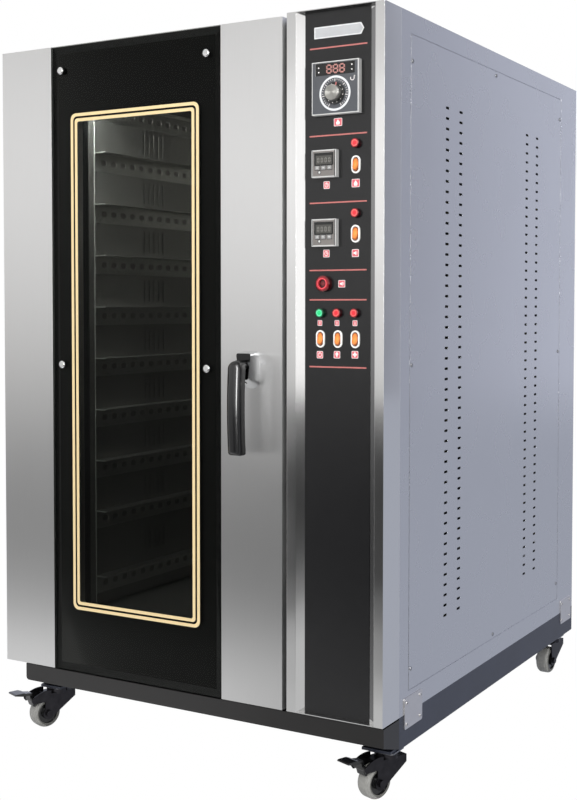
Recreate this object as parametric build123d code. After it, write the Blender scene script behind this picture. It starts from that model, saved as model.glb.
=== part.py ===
from build123d import *
import math
import os

# Convection oven on casters, in millimetres. X runs to the right, Y to the back and Z up.
# The origin is under the middle of the whole oven, on the floor.

# Cabinet
cabinet_width = 840.0          # left side to the right face of the control column
cabinet_depth = 1095.0         # front of the column to the rear posts
cabinet_height = 1290.0        # underside of the cabinet to the roof
frame_sheet = 3.0              # folded sheet of the cabinet frame
rebate_depth = 1.5             # step in which the cover panels lie flush
rebate_ledge = 14.0            # width of the ledge behind a panel edge
panel_sheet = 1.5              # cover panels
panel_gap = 2.0                # open joint round each cover panel
panel_fold = 8.0               # folded edge behind each cover panel
front_post_depth = 39.4        # side face of the front post, behind the column
rear_post_depth = 117.0        # side face of the rear post
bottom_band = 40.0             # band under the side panel
top_band = 38.0                # band over the side panel
rear_post_width = 60.0         # back face of the rear posts
roof_margin = 40.0             # band round the roof panel
front_flange = 40.0            # flange of the front post behind the column
floor_bar_places = (240.0, 490.0, 740.0)
floor_bar_width = 40.0         # square tubes on the floor that carry the cavity
floor_bar_sheet = 2.0

# Base and corner plates
base_height = 60.0
base_tube = 50.0               # width of the base tubes
base_wall = 2.5
pad_thickness = 5.0            # plates welded in the base corners for the casters
pad_size = 62.0
beam_setback = 5.0             # front beam behind the front of the column
beam_sheet = 3.0
beam_top_gap = 3.0             # under the door
beam_front_height = 35.0
beam_end_height = 55.0         # its side returns get taller towards the back
beam_corner = 7.0              # radius of the front plate's lower left corner
plate_length = 79.0
plate_height = 58.0
plate_sheet = 2.0
plate_front_start = 90.0       # behind the front of the column
plate_rear_end = 14.0          # in front of the rear edge
plate_top = 30.0               # above the underside of the cabinet
plate_screw_inset = 9.0
plate_screw_radius = 4.0
plate_screw_head = 1.6

# Control column
column_width = 198.0
column_depth = 70.0
column_sheet = 1.5
left_facet = 19.1
right_facet = 18.0
fascia_recess = 12.0
fascia_sheet = 1.5
fascia_flange = 20.0
fascia_right_margin = 33.0     # right face of the column to the edge of the fascia
fascia_end_margin = 1.8        # fascia to the roof and to the underside
fit_gap = 0.3                  # clearance round pieces that are only set in place

# Door
door_overhang = 49.0
door_gap = 9.6                 # door to column
door_height = 1285.0
door_depth = 62.0
left_strip_width = 132.0
right_strip_width = 134.7
strip_sheet = 1.5
pan_sheet = 1.5
glass_thickness = 6.0
inner_glass_thickness = 5.0
glass_lap = 15.0               # glass edge on the door frame
window_half_width = 157.0
window_bottom = 130.6
window_top = 1145.8
inner_opening_margin = 5.0
inner_glass_lap = 14.0
glass_screw_left = 25.0        # in from the edges of the glass
glass_screw_right = 33.0
glass_screw_heights = (1235.0, 635.0)
glass_screw_head_radius = 8.0
glass_screw_head = 3.2
glass_screw_radius = 3.0

# Door hinges
hinge_heights = (150.0, 640.0, 1130.0)
hinge_length = 90.0
hinge_pin_radius = 5.0
hinge_barrel_radius = 8.0
hinge_offset = 16.0            # pin outside the left side of the cabinet
hinge_behind = 10.0            # pin behind the back of the door
hinge_leaf = 3.0
hinge_leaf_depth = 38.0
running_gap = 0.05             # radial, on pins and shafts

# Handle and latch
handle_x = 276.0               # left of the right face of the column
handle_z = 645.0
handle_base_width = 37.0
handle_base_top = 671.0
handle_base_bottom = 600.0
handle_base_depth = 26.0
handle_base_round = 14.0       # its lower corners
handle_base_corner = 7.0       # its upper corners
handle_face_top = 667.0        # the front of the base is smaller than its back
handle_face_bottom = 618.0
handle_face_top_width = 32.0
handle_face_bottom_width = 20.0
handle_face_corner = 4.0
handle_screw_radius = 2.2
handle_screw_drop = 33.0       # under the spindle, in the sloping foot
handle_reach = 64.0            # front of the column to the front of the grip
grip_width = 31.0
grip_thickness = 18.0
grip_top = 654.0
grip_bottom = 479.0
grip_bow = 4.0                 # its ends lie this much nearer the door
grip_corner = 6.0
grip_edge = 8.0
neck_radius = 10.0
spindle_radius = 5.0
tongue_gap = 1.4               # tip of the level tongue inside the door's edge
tongue_height = 18.0
tongue_thickness = 4.0
tongue_depth = 35.0            # behind the front of the door
tongue_slot_margin = 1.5
tongue_tip_round = 4.0
tongue_room = 3.0

# Oven cavity, its centre is the centre of the door
cavity_half_width = 245.0
cavity_bottom = 105.0
cavity_top = 1235.0
cavity_back = 880.0            # behind the front of the column
liner_sheet = 1.2
insulation_thickness = 35.0
seal_width = 18.0
seal_margin = 5.0
duct_half_width = 203.0        # the side air ducts leave this for the trays
duct_start = 80.0
baffle_place = 758.0
baffle_sheet = 2.0
rail_top_heights = [312.6 + 110.3 * step for step in range(9)]
rail_lowest = 171.0
rail_start = 132.0
rail_length = 608.0
rail_flange = 30.0
rail_web = 40.0
rail_sheet = 1.2
rail_hole_pitch = 34.0
rail_hole_length = 20.0
rail_hole_width = 12.0
duct_slot_length = 50.0
duct_slot_width = 6.0
duct_slot_pitch = 18.0
duct_slot_count = 5
duct_slot_places = (310.0, 560.0)

# Side panel slots
slot_length = 17.0
slot_width = 5.0
slot_pitch = 20.27
slot_count = 50
slot_first = 146.0
slot_columns = (-262.0, -194.0, 194.0, 262.0)

# Fan, motor, elements, steam pipe and lamp
fan_height = 670.0
fan_radius = 170.0
fan_front = 786.0
fan_width = 62.0
blade_count = 10
blade_inner = 70.0
blade_sheet = 2.0
hub_radius = 18.0
shaft_radius = 7.0
shaft_opening = 14.0
motor_radius = 75.0
motor_length = 140.0
motor_plate = 4.0
motor_plate_half = 105.0
motor_stud_place = 85.0
motor_stud_radius = 5.0
motor_bearing = 15.0           # how far the shaft runs into the motor
element_ring_radius = 200.0
element_radius = 4.0
element_places = (790.0, 815.0, 840.0)
element_gap_angle = 24.0
element_tail = 50.0            # terminals behind the liner
steam_pipe_radius = 6.0
steam_pipe_rise = 225.0        # over the fan centre
steam_pipe_front = 795.0
steam_pipe_back = 960.0
lamp_place = 165.0
lamp_dome_radius = 28.0
lamp_dome_drop = 14.0
lamp_body_radius = 20.0
lamp_body_height = 30.0
lamp_flange_radius = 34.0
lamp_flange = 3.0
baffle_hole_radius = 4.5
baffle_ring_step = 16.0
baffle_rings = 7

# Instruments on the fascia, measured left from the right face and up from the underside
controller_place = (98.4, 1146.5)
controller_size = 95.0
controller_body = 90.0
instrument_proud = 12.0
controller_back = 68.0
display_width = 80.0
display_height = 22.0
display_rise = 33.5
display_recess = 1.0
dial_drop = 10.5
knob_skirt_radius = 20.0
knob_skirt = 2.0
knob_radius = 14.0
knob_height = 12.0
pointer_width = 1.8
pointer_raise = 0.6
pointer_angle = 12.0           # clockwise from the top, at rest
knob_shaft_radius = 3.0
knob_shaft_length = 8.0
timer_x = 121.3
timer_heights = (1011.9, 887.5)
timer_size = 49.6
timer_body = 44.6
timer_back = 78.0
timer_display_width = 40.0
timer_display_height = 23.0
timer_display_rise = 8.2
key_offsets = (-12.4, 0.0, 12.4)
key_drop = 7.6
key_width = 8.4
key_height = 7.0
key_proud = 1.2
key_depth = 2.2
key_travel = 0.8
key_stop_gap = 0.4
rocker_places = ((61.3, 1008.0), (61.6, 884.5), (132.8, 695.2), (97.0, 695.2), (61.7, 695.2))
rocker_names = ("heat_rocker", "steam_rocker", "power_rocker", "light_rocker", "door_side_rocker")
bezel_width = 18.0
bezel_length = 32.0
bezel_proud = 3.0
bezel_body_depth = 24.0
bezel_body_width = 14.6
bezel_body_length = 28.6
rocker_half_width = 5.2
rocker_half_length = 12.2
rocker_room = 0.9
rocker_pivot_depth = 1.5       # pivot behind the face of the fascia
rocker_tilt = 12.0
rocker_tip_height = 7.2
rocker_middle_height = 5.0
rocker_root_depth = 4.0        # how far it goes on behind its pivot
rocker_pin_radius = 1.2
rocker_pin_reach = 1.5         # each end of its pin into the collar
rocker_pocket_depth = 16.0
lamp_places = ((60.5, 1045.8), (60.4, 921.5), (131.7, 742.4), (97.2, 742.4), (61.6, 742.4))
indicator_radius = 8.6
indicator_proud = 9.0
indicator_dome = 2.0
indicator_body_radius = 6.0
indicator_body_depth = 22.0
buzzer_place = (124.7, 795.7)
buzzer_radius = 14.6
buzzer_proud = 12.0
buzzer_throat_radius = 8.0
buzzer_throat_depth = 6.0
buzzer_body_radius = 11.0
buzzer_body_depth = 30.0

# Control gear in the space beside the cavity
gear_plate_place = 320.0       # behind the front of the column
gear_plate_width = 200.0
gear_plate_height = 380.0
gear_plate_sheet = 2.0
gear_plate_margin = 20.0
gear_foot = 40.0
contactor_size = (45.0, 80.0, 75.0)
contactor_step = 60.0
contactor_height = 230.0
terminal_size = (150.0, 30.0, 25.0)
terminal_height = 120.0

# Cable gland low on the back panel
gland_x = 120.0                # left of the right face
gland_z = 110.0
gland_radius = 15.0
gland_reach = 22.0
gland_thread_radius = 12.0
gland_inside = 14.0
gland_bore_radius = 8.0

# Casters
caster_height = 86.0
caster_inset_x = 27.0
caster_inset_front = 72.0
caster_inset_rear = 79.0
caster_trail = 30.0
caster_turn_front = 21.0       # degrees that the front casters stand turned from straight
caster_turn_rear = 4.0
wheel_radius = 31.5
wheel_half_width = 15.0
hub_half_width = 16.2
tread_round = 8.0
hub_outer_radius = 12.0
rim_radius = 22.0
rim_recess = 3.0
axle_radius = 4.0
axle_head_radius = 7.0
axle_head = 5.0
caster_plate_size = 52.0
caster_plate_sheet = 3.0
raceway_radius = 22.0
crown_bottom = 70.0
crown_sheet = 3.0
crown_back = 34.0
leg_sheet = 2.5
kingpin_radius = 5.0
kingpin_head = 2.0
axle_lug_radius = 13.0         # round end of each leg about the axle
leg_behind_axle = 8.0          # rear edge of the leg behind the axle
leg_arch_z = 57.0              # underside of the arms that hold the brake
cheek_start = 24.0             # arched cheeks begin just outside the raceway
cheek_top = 80.0
pivot_lug_radius = 6.0
pedal_pivot_y = 64.0
pedal_pivot_z = 64.0
pedal_pin_radius = 2.5
pedal_boss_radius = 4.5
pedal_width = 30.0
pedal_arm_width = 18.0
pedal_reach = 107.0            # tip of the pedal from the swivel axis
pedal_pad_length = 29.0
pedal_top = 84.0
pedal_pad_thickness = 7.0
shoe_radius = 3.0
shoe_width = 20.0
shoe_reach = 12.6
shoe_angle = 70.0              # below level, towards the wheel

# Places that follow from the sizes
plate_reach = plate_sheet + plate_screw_head
overall_width = door_overhang + cabinet_width + plate_reach
overall_depth = handle_reach + cabinet_depth + gland_reach
right_x = overall_width / 2 - plate_reach
left_x = right_x - cabinet_width
front_y = -overall_depth / 2 + handle_reach
rear_y = front_y + cabinet_depth
face_y = front_y + column_depth
body_z = caster_height + base_height
roof_z = body_z + cabinet_height
column_left = right_x - column_width
door_right = column_left - door_gap
door_left = left_x - door_overhang
door_back = front_y + door_depth
centre_x = (door_left + door_right) / 2
fascia_y = front_y + fascia_recess
glass_left = door_left + left_strip_width
glass_right = door_right - right_strip_width
pan_left = door_left + strip_sheet
pan_right = door_right - strip_sheet
pin_x = left_x - hinge_offset
pin_y = door_back + hinge_behind
spindle_x = right_x - handle_x
tongue_length = door_right - tongue_gap - spindle_x
tongue_swing = math.hypot(tongue_length, tongue_height / 2)
spindle_z = body_z + handle_z
liner_back = front_y + cavity_back
jacket_back = liner_back + liner_sheet + insulation_thickness
fan_z = body_z + fan_height
steam_z = fan_z + steam_pipe_rise
lamp_y = front_y + lamp_place
cavity_left = centre_x - cavity_half_width
cavity_right = centre_x + cavity_half_width
cavity_z0 = body_z + cavity_bottom
cavity_z1 = body_z + cavity_top


# Shared shapes
def block(x0, x1, y0, y1, z0, z1):
    """A rectangular block between its low and high corners."""
    middle = Pos((x0 + x1) / 2, (y0 + y1) / 2, (z0 + z1) / 2)
    return middle * Box(x1 - x0, y1 - y0, z1 - z0)


def rod(start, direction, radius, length):
    """A round bar from its start along a direction."""
    place = Plane(origin=start, z_dir=direction)
    return place * Cylinder(radius, length, align=(Align.CENTER, Align.CENTER, Align.MIN))


def outline(sketch):
    """The outer edge of a flat shape."""
    return sketch.face().outer_wire()


def pierced_plate(place, width, height, thickness, holes):
    """A flat plate centred on a plane, with the given hole outlines, thick along its normal."""
    face = Face(outline(Rectangle(width, height)), holes)
    return place * extrude(face, thickness)


def side_plane(x, y, z):
    """A plane that faces right, with its own x along Y and its own y along Z."""
    return Plane(origin=(x, y, z), x_dir=(0, 1, 0), z_dir=(1, 0, 0))


def front_plane(x, y, z):
    """A plane that faces the back, with its own x along -X and its own y along Z."""
    return Plane(origin=(x, y, z), x_dir=(-1, 0, 0), z_dir=(0, 1, 0))


def folded_section(points, thickness):
    """The section of a folded sheet: a path on its outer face, and the same path moved to the left."""
    moved = []
    for index, (x, y) in enumerate(points):
        normals = []
        for start, end in ((index - 1, index), (index, index + 1)):
            if start < 0 or end >= len(points):
                continue
            dx = points[end][0] - points[start][0]
            dy = points[end][1] - points[start][1]
            size = math.hypot(dx, dy)
            normals.append((-dy / size, dx / size))
        nx = sum(normal[0] for normal in normals)
        ny = sum(normal[1] for normal in normals)
        reach = thickness * len(normals) / (nx * nx + ny * ny)
        moved.append((x + nx * reach, y + ny * reach))
    return make_face(Polyline(*points, *reversed(moved), close=True))


def folded_sheet(points, thickness, z0, z1):
    """A folded sheet with a constant section, standing between two heights."""
    section = folded_section(points, thickness)
    return Pos(0, 0, z0) * extrude(section, z1 - z0)


def save(name, *pieces):
    """Write one node; several pieces stay separate solids in it."""
    solids = []
    for piece in pieces:
        solids.extend(piece.solids())
    shape = solids[0] if len(solids) == 1 else Compound(solids)
    export_step(shape, f"parts/{name}.step")


# Cabinet frame and its covers
def window(x0, x1, y0, y1, z0, z1, axis, outer_face, side):
    """The stepped opening that a cover panel lies in: a rebate and a smaller hole behind it."""
    low = [x0, y0, z0]
    high = [x1, y1, z1]
    low[axis] = outer_face - side * rebate_depth
    high[axis] = outer_face + side
    rebate = block(*[value for pair in zip(map(min, low, high), map(max, low, high)) for value in pair])
    inner_low = [value + rebate_ledge for value in (x0, y0, z0)]
    inner_high = [value - rebate_ledge for value in (x1, y1, z1)]
    inner_low[axis] = outer_face - side * (frame_sheet + 1)
    inner_high[axis] = outer_face + side
    pairs = zip(map(min, inner_low, inner_high), map(max, inner_low, inner_high))
    return rebate + block(*[value for pair in pairs for value in pair])


panel_y0 = face_y + front_post_depth
panel_y1 = rear_y - rear_post_depth
panel_z0 = body_z + bottom_band
panel_z1 = roof_z - top_band
back_x0 = left_x + rear_post_width
back_x1 = right_x - rear_post_width
roof_y0 = face_y + roof_margin
roof_y1 = rear_y - roof_margin


def cabinet_frame():
    outer = block(left_x, right_x, face_y, rear_y, body_z, roof_z)
    inner = block(left_x + frame_sheet, right_x - frame_sheet, face_y - 1, rear_y - frame_sheet,
                  body_z + frame_sheet, roof_z - frame_sheet)
    frame = outer - inner
    frame -= window(right_x, right_x, panel_y0, panel_y1, panel_z0, panel_z1, 0, right_x, 1)
    frame -= window(left_x, left_x, panel_y0, panel_y1, panel_z0, panel_z1, 0, left_x, -1)
    frame -= window(back_x0, back_x1, rear_y, rear_y, panel_z0, panel_z1, 1, rear_y, 1)
    frame -= window(left_x + roof_margin, right_x - roof_margin, roof_y0, roof_y1, roof_z, roof_z,
                    2, roof_z, 1)
    frame += block(right_x - front_flange, right_x, face_y, face_y + frame_sheet, body_z, roof_z)
    mullion = block(column_left - frame_sheet, column_left, face_y, face_y + front_flange, body_z, roof_z)
    mullion += block(column_left, column_left + front_flange / 2, face_y, face_y + frame_sheet,
                     body_z, roof_z)
    frame += mullion
    jacket_bottom = body_z + cavity_bottom - liner_sheet - insulation_thickness
    for place in floor_bar_places:
        middle = front_y + place
        half = floor_bar_width / 2
        inner = half - floor_bar_sheet
        bar = block(cavity_left, cavity_right, middle - half, middle + half, body_z + frame_sheet,
                    jacket_bottom)
        bar -= block(cavity_left - 1, cavity_right + 1, middle - inner, middle + inner,
                     body_z + frame_sheet + floor_bar_sheet, jacket_bottom - floor_bar_sheet)
        frame += bar
    return frame


def cover_panel(place, width, height, holes):
    """A cover panel with folded edges: its face on the plane, its folds behind it."""
    inside = 2 * (rebate_ledge + panel_gap)
    face_width = width - 2 * panel_gap
    face_height = height - 2 * panel_gap
    panel = pierced_plate(place * Pos(0, 0, -panel_sheet), face_width, face_height, panel_sheet, holes)
    fold_width = width - inside
    fold_height = height - inside
    depth = panel_sheet + panel_fold
    tray = Pos(0, 0, -depth) * extrude(Rectangle(fold_width, fold_height), panel_fold)
    core = Rectangle(fold_width - 2 * panel_sheet, fold_height - 2 * panel_sheet)
    tray -= Pos(0, 0, -depth - 1) * extrude(core, panel_fold + 1)
    return panel + place * tray


def side_slots():
    """Four columns of short vent slots, as outlines centred on the panel."""
    slots = []
    panel_middle = (panel_z0 + panel_z1) / 2 - body_z
    for column in slot_columns:
        for step in range(slot_count):
            height = slot_first + step * slot_pitch - panel_middle
            slots.append(outline(Pos(column, height) * SlotOverall(slot_length, slot_width)))
    return slots


def side_panel(x, side):
    place = side_plane(x, (panel_y0 + panel_y1) / 2, (panel_z0 + panel_z1) / 2)
    if side < 0:
        place = Plane(origin=place.origin, x_dir=(0, -1, 0), z_dir=(-1, 0, 0))
    return cover_panel(place, panel_y1 - panel_y0, panel_z1 - panel_z0, side_slots())


motor_vent_rows = 12
motor_vent_columns = (-90.0, -30.0, 30.0, 90.0)
motor_vent_length = 40.0


def back_panel():
    middle_x = (back_x0 + back_x1) / 2
    middle_z = (panel_z0 + panel_z1) / 2
    place = front_plane(middle_x, rear_y, middle_z)
    holes = []
    for column in motor_vent_columns:
        for row in range(motor_vent_rows):
            up = fan_z - middle_z + (row - (motor_vent_rows - 1) / 2) * slot_pitch
            across = middle_x - centre_x + column
            holes.append(outline(Pos(across, up) * SlotOverall(motor_vent_length, slot_width)))
    gland_hole = Pos(middle_x - right_x + gland_x, body_z + gland_z - middle_z) * Circle(gland_thread_radius)
    holes.append(outline(gland_hole))
    return cover_panel(place, back_x1 - back_x0, panel_z1 - panel_z0, holes)


def roof_panel():
    middle = Plane(origin=((left_x + right_x) / 2, (roof_y0 + roof_y1) / 2, roof_z))
    return cover_panel(middle, cabinet_width - 2 * roof_margin, roof_y1 - roof_y0, [])


# Base frame, front beam and corner plates
def base_frame():
    bottom = body_z - base_height
    outer = block(left_x, right_x, face_y, rear_y, bottom, body_z)
    hole = block(left_x + base_tube, right_x - base_tube, face_y + base_tube, rear_y - base_tube,
                 bottom - 1, body_z + 1)
    ring = outer - hole
    wall = base_wall
    core = block(left_x + wall, right_x - wall, face_y + wall, rear_y - wall, bottom + wall, body_z - wall)
    core -= block(left_x + base_tube - wall, right_x - base_tube + wall, face_y + base_tube - wall,
                  rear_y - base_tube + wall, bottom, body_z)
    ring -= core
    pad_front = front_y + caster_inset_front - pad_size / 2
    pad_left = left_x + beam_corner + beam_sheet + fit_gap
    pad_right = right_x - beam_sheet - fit_gap
    for x0, x1 in ((pad_left, left_x + pad_size), (right_x - pad_size, pad_right)):
        ring += block(x0, x1, pad_front, face_y + 1, bottom, bottom + pad_thickness)
    return ring


def front_beam():
    """A folded black beam: a front plate with a round lower left corner, a top and two side returns."""
    top = body_z - beam_top_gap
    beam_y = front_y + beam_setback
    back = face_y - fit_gap
    low = top - beam_front_height
    end_low = top - beam_end_height
    plate = block(left_x, right_x, beam_y, beam_y + beam_sheet, low, top)
    corner = plate.edges().filter_by(Axis.Y).group_by(Axis.Z)[0].sort_by(Axis.X)[0]
    beam = fillet(corner, beam_corner)
    web = make_face(Polyline((beam_y, top), (back, top), (back, end_low), (beam_y, low), close=True))
    for x in (left_x + beam_corner, right_x - beam_sheet):
        beam += side_plane(x, 0, 0) * extrude(web, beam_sheet)
    return beam + block(left_x + beam_corner, right_x, beam_y, back, top - beam_sheet, top)


def corner_plates():
    pieces = []
    low = body_z + plate_top - plate_height
    starts = (front_y + plate_front_start, rear_y - plate_rear_end - plate_length)
    for side, x in ((1, right_x), (-1, left_x)):
        for start in starts:
            outer = x + side * plate_sheet
            plate = block(min(x, outer), max(x, outer), start, start + plate_length, low, low + plate_height)
            pieces.append(fillet(plate.edges().filter_by(Axis.X), 4))
            for dy in (plate_screw_inset, plate_length - plate_screw_inset):
                for dz in (plate_screw_inset, plate_height - plate_screw_inset):
                    head = rod((outer, start + dy, low + dz), (side, 0, 0), plate_screw_radius,
                               plate_screw_head)
                    rim = head.edges().filter_by(GeomType.CIRCLE).sort_by(Axis.X)
                    pieces.append(fillet(rim[-1] if side > 0 else rim[0], 1.2))
    return pieces


# Control column
def column_shell():
    flange_y = fascia_y + fascia_sheet
    bevel = flange_y - front_y
    left_path = [(column_left, face_y), (column_left, front_y), (column_left + left_facet, front_y),
                 (column_left + left_facet + bevel, flange_y),
                 (column_left + left_facet + bevel + fascia_flange, flange_y)]
    right_path = [(right_x - fascia_right_margin - fascia_flange, flange_y),
                  (right_x - right_facet, flange_y), (right_x - right_facet, front_y),
                  (right_x, front_y), (right_x, face_y)]
    shell = folded_sheet(left_path, column_sheet, body_z, roof_z)
    shell += folded_sheet(right_path, column_sheet, body_z, roof_z)
    shell += block(column_left, right_x, front_y, face_y, roof_z - column_sheet, roof_z)
    shell += block(column_left, right_x, front_y, face_y, body_z, body_z + column_sheet)
    flange_left = column_left + left_facet + bevel
    for low, high in ((body_z, body_z + fascia_flange), (roof_z - fascia_flange, roof_z)):
        shell += block(flange_left, right_x - right_facet, flange_y, flange_y + column_sheet, low, high)
    return shell - tongue_slot(column_left)


fascia_left = column_left + left_facet + fascia_recess + fascia_sheet + fit_gap
fascia_right = right_x - fascia_right_margin


def fascia_panel():
    """The recessed control plate, with an opening for each instrument."""
    middle_x = (fascia_left + fascia_right) / 2
    low = body_z + fascia_end_margin
    high = roof_z - fascia_end_margin
    middle_z = (low + high) / 2

    def at(place):
        return Pos(middle_x - (right_x - place[0]), body_z + place[1] - middle_z)

    body = controller_body + 2 * fit_gap
    holes = [outline(at(controller_place) * Rectangle(body, body))]
    for height in timer_heights:
        body = timer_body + 2 * fit_gap
        holes.append(outline(at((timer_x, height)) * Rectangle(body, body)))
    for place in rocker_places:
        long_side = bezel_body_length + 2 * fit_gap
        short_side = bezel_body_width + 2 * fit_gap
        holes.append(outline(at(place) * Rot(0, 0, 90) * SlotOverall(long_side, short_side)))
    for place in lamp_places:
        holes.append(outline(at(place) * Circle(indicator_body_radius + fit_gap)))
    holes.append(outline(at(buzzer_place) * Circle(buzzer_body_radius + fit_gap)))
    place = front_plane(middle_x, fascia_y, middle_z)
    return pierced_plate(place, fascia_right - fascia_left, high - low, fascia_sheet, holes)


def instrument(place, size, body, back):
    """A square instrument: a bezel in front of the fascia and a body through it."""
    x = right_x - place[0]
    z = body_z + place[1]
    front = fascia_y - instrument_proud
    bezel = block(x - size / 2, x + size / 2, front, fascia_y, z - size / 2, z + size / 2)
    bezel = fillet(bezel.edges().group_by(Axis.Y)[0], 0.8)
    rear = block(x - body / 2, x + body / 2, fascia_y, fascia_y + back, z - body / 2, z + body / 2)
    return bezel + rear


def display_cut(place, width, height, rise):
    x = right_x - place[0]
    z = body_z + place[1] + rise
    front = fascia_y - instrument_proud
    return block(x - width / 2, x + width / 2, front - 1, front + display_recess, z - height / 2,
                 z + height / 2)


dial_x = right_x - controller_place[0]
dial_z = body_z + controller_place[1] - dial_drop
instrument_front = fascia_y - instrument_proud


def instrument_bodies():
    controller = instrument(controller_place, controller_size, controller_body, controller_back)
    controller -= display_cut(controller_place, display_width, display_height, display_rise)
    bore = rod((dial_x, instrument_front - 1, dial_z), (0, 1, 0), knob_shaft_radius + running_gap,
               knob_shaft_length + 2)
    pieces = [controller - bore]
    for height in timer_heights:
        place = (timer_x, height)
        timer = instrument(place, timer_size, timer_body, timer_back)
        timer -= display_cut(place, timer_display_width, timer_display_height, timer_display_rise)
        for offset in key_offsets:
            x = right_x - timer_x + offset
            z = body_z + height - key_drop
            half_width = key_width / 2 + fit_gap
            half_height = key_height / 2 + fit_gap
            depth = key_depth + key_travel + key_stop_gap
            timer -= block(x - half_width, x + half_width, instrument_front - 1, instrument_front + depth,
                           z - half_height, z + half_height)
        pieces.append(timer)
    return pieces


def timer_key(height, offset):
    x = right_x - timer_x + offset
    z = body_z + height - key_drop
    key = block(x - key_width / 2, x + key_width / 2, instrument_front - key_proud,
                instrument_front + key_depth, z - key_height / 2, z + key_height / 2)
    return fillet(key.edges().group_by(Axis.Y)[0], 0.4)


def temperature_knob():
    back = instrument_front - fit_gap
    skirt = rod((dial_x, back, dial_z), (0, -1, 0), knob_skirt_radius, knob_skirt)
    cap = rod((dial_x, back - knob_skirt, dial_z), (0, -1, 0), knob_radius, knob_height)
    cap = chamfer(cap.edges().filter_by(GeomType.CIRCLE).sort_by(Axis.Y)[0], 1.5)
    half = pointer_width / 2
    pointer = block(-half, half, back - knob_skirt - pointer_raise, back - knob_skirt,
                    knob_radius - 1, knob_skirt_radius - 1)
    pointer = Pos(dial_x, 0, dial_z) * Rot(0, pointer_angle, 0) * pointer
    shaft = rod((dial_x, back - 1, dial_z), (0, 1, 0), knob_shaft_radius, knob_shaft_length + fit_gap + 1)
    return skirt + cap + pointer + shaft


def rocker_bezel(place):
    """The oval collar of a rocker switch, with the switch body behind the fascia."""
    x = right_x - place[0]
    z = body_z + place[1]
    plane = front_plane(x, fascia_y, z)
    turned = Rot(0, 0, 90)
    collar = plane * Pos(0, 0, -bezel_proud) * extrude(turned * SlotOverall(bezel_length, bezel_width),
                                                       bezel_proud)
    collar = fillet(collar.edges().group_by(Axis.Y)[0], 1.0)
    body = plane * extrude(turned * SlotOverall(bezel_body_length, bezel_body_width), bezel_body_depth)
    room = rocker_room
    pocket_shape = SlotOverall(2 * (rocker_half_length + room), 2 * (rocker_half_width + room))
    pocket = plane * Pos(0, 0, -bezel_proud - 1) * extrude(turned * pocket_shape,
                                                           bezel_proud + 1 + rocker_pocket_depth)
    pivot_y = fascia_y + rocker_pivot_depth
    socket_half = rocker_half_width + rocker_pin_reach + fit_gap
    socket = rod((x - socket_half, pivot_y, z), (1, 0, 0), rocker_pin_radius + running_gap, 2 * socket_half)
    return collar + body - pocket - socket


def rocker(place):
    """An oval rocker, round about its pivot, resting with its upper end pressed in."""
    curve = rocker_half_length - rocker_half_width
    half = rocker_half_width
    profile = Polyline((half, curve), (half, 0), (-half, 0), (-half, curve))
    profile += ThreePointArc((-half, curve), (0, rocker_half_length), (half, curve))
    round_form = revolve(make_face(profile), Axis.X, 360)
    long = rocker_half_length + 1
    section = Polyline((-rocker_tip_height, -long), (-rocker_middle_height, 0), (-rocker_tip_height, long),
                       (rocker_root_depth, long), (rocker_root_depth, -long), close=True)
    slab = side_plane(-half - 1, 0, 0) * extrude(make_face(section), 2 * half + 2)
    pin_half = half + rocker_pin_reach
    form = (round_form & slab) + rod((-pin_half, 0, 0), (1, 0, 0), rocker_pin_radius, 2 * pin_half)
    pivot = Pos(right_x - place[0], fascia_y + rocker_pivot_depth, body_z + place[1])
    return pivot * Rot(-rocker_tilt, 0, 0) * form


def indicator_lamp(place):
    x = right_x - place[0]
    z = body_z + place[1]
    lens = rod((x, fascia_y, z), (0, -1, 0), indicator_radius, indicator_proud)
    lens = fillet(lens.edges().filter_by(GeomType.CIRCLE).sort_by(Axis.Y)[0], indicator_dome)
    return lens + rod((x, fascia_y, z), (0, 1, 0), indicator_body_radius, indicator_body_depth)


def buzzer():
    x = right_x - buzzer_place[0]
    z = body_z + buzzer_place[1]
    ring = rod((x, fascia_y, z), (0, -1, 0), buzzer_radius, buzzer_proud)
    ring = chamfer(ring.edges().filter_by(GeomType.CIRCLE).sort_by(Axis.Y)[0], 3.0)
    ring -= rod((x, fascia_y - buzzer_proud - 1, z), (0, 1, 0), buzzer_throat_radius,
                buzzer_throat_depth + 1)
    return ring + rod((x, fascia_y, z), (0, 1, 0), buzzer_body_radius, buzzer_body_depth)


def control_gear():
    """An upright plate beside the cavity, with two contactors and a terminal block on it."""
    y = front_y + gear_plate_place
    x1 = right_x - frame_sheet - gear_plate_margin
    x0 = x1 - gear_plate_width
    floor = body_z + frame_sheet
    plate = block(x0, x1, y, y + gear_plate_sheet, floor, floor + gear_plate_height)
    plate += block(x0, x1, y, y + gear_foot, floor, floor + gear_plate_sheet)
    pieces = [plate]
    wide, tall, deep = contactor_size
    for step in (-0.5, 0.5):
        x = (x0 + x1) / 2 + step * contactor_step
        low = floor + contactor_height
        pieces.append(block(x - wide / 2, x + wide / 2, y - deep, y, low, low + tall))
    wide, tall, deep = terminal_size
    x = (x0 + x1) / 2
    low = floor + terminal_height
    pieces.append(block(x - wide / 2, x + wide / 2, y - deep, y, low, low + tall))
    return pieces


def cable_gland():
    x = right_x - gland_x
    z = body_z + gland_z
    plane = front_plane(x, rear_y, z)
    nut = plane * extrude(RegularPolygon(gland_radius, 6), gland_reach * 0.45)
    dome = rod((x, rear_y, z), (0, 1, 0), gland_radius * 0.84, gland_reach)
    dome = fillet(dome.edges().filter_by(GeomType.CIRCLE).sort_by(Axis.Y)[-1], 3)
    thread = rod((x, rear_y, z), (0, -1, 0), gland_thread_radius, gland_inside)
    bore = rod((x, rear_y - gland_inside - 1, z), (0, 1, 0), gland_bore_radius,
               gland_reach + gland_inside + 2)
    return nut + dome + thread - bore


# Oven cavity


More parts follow.
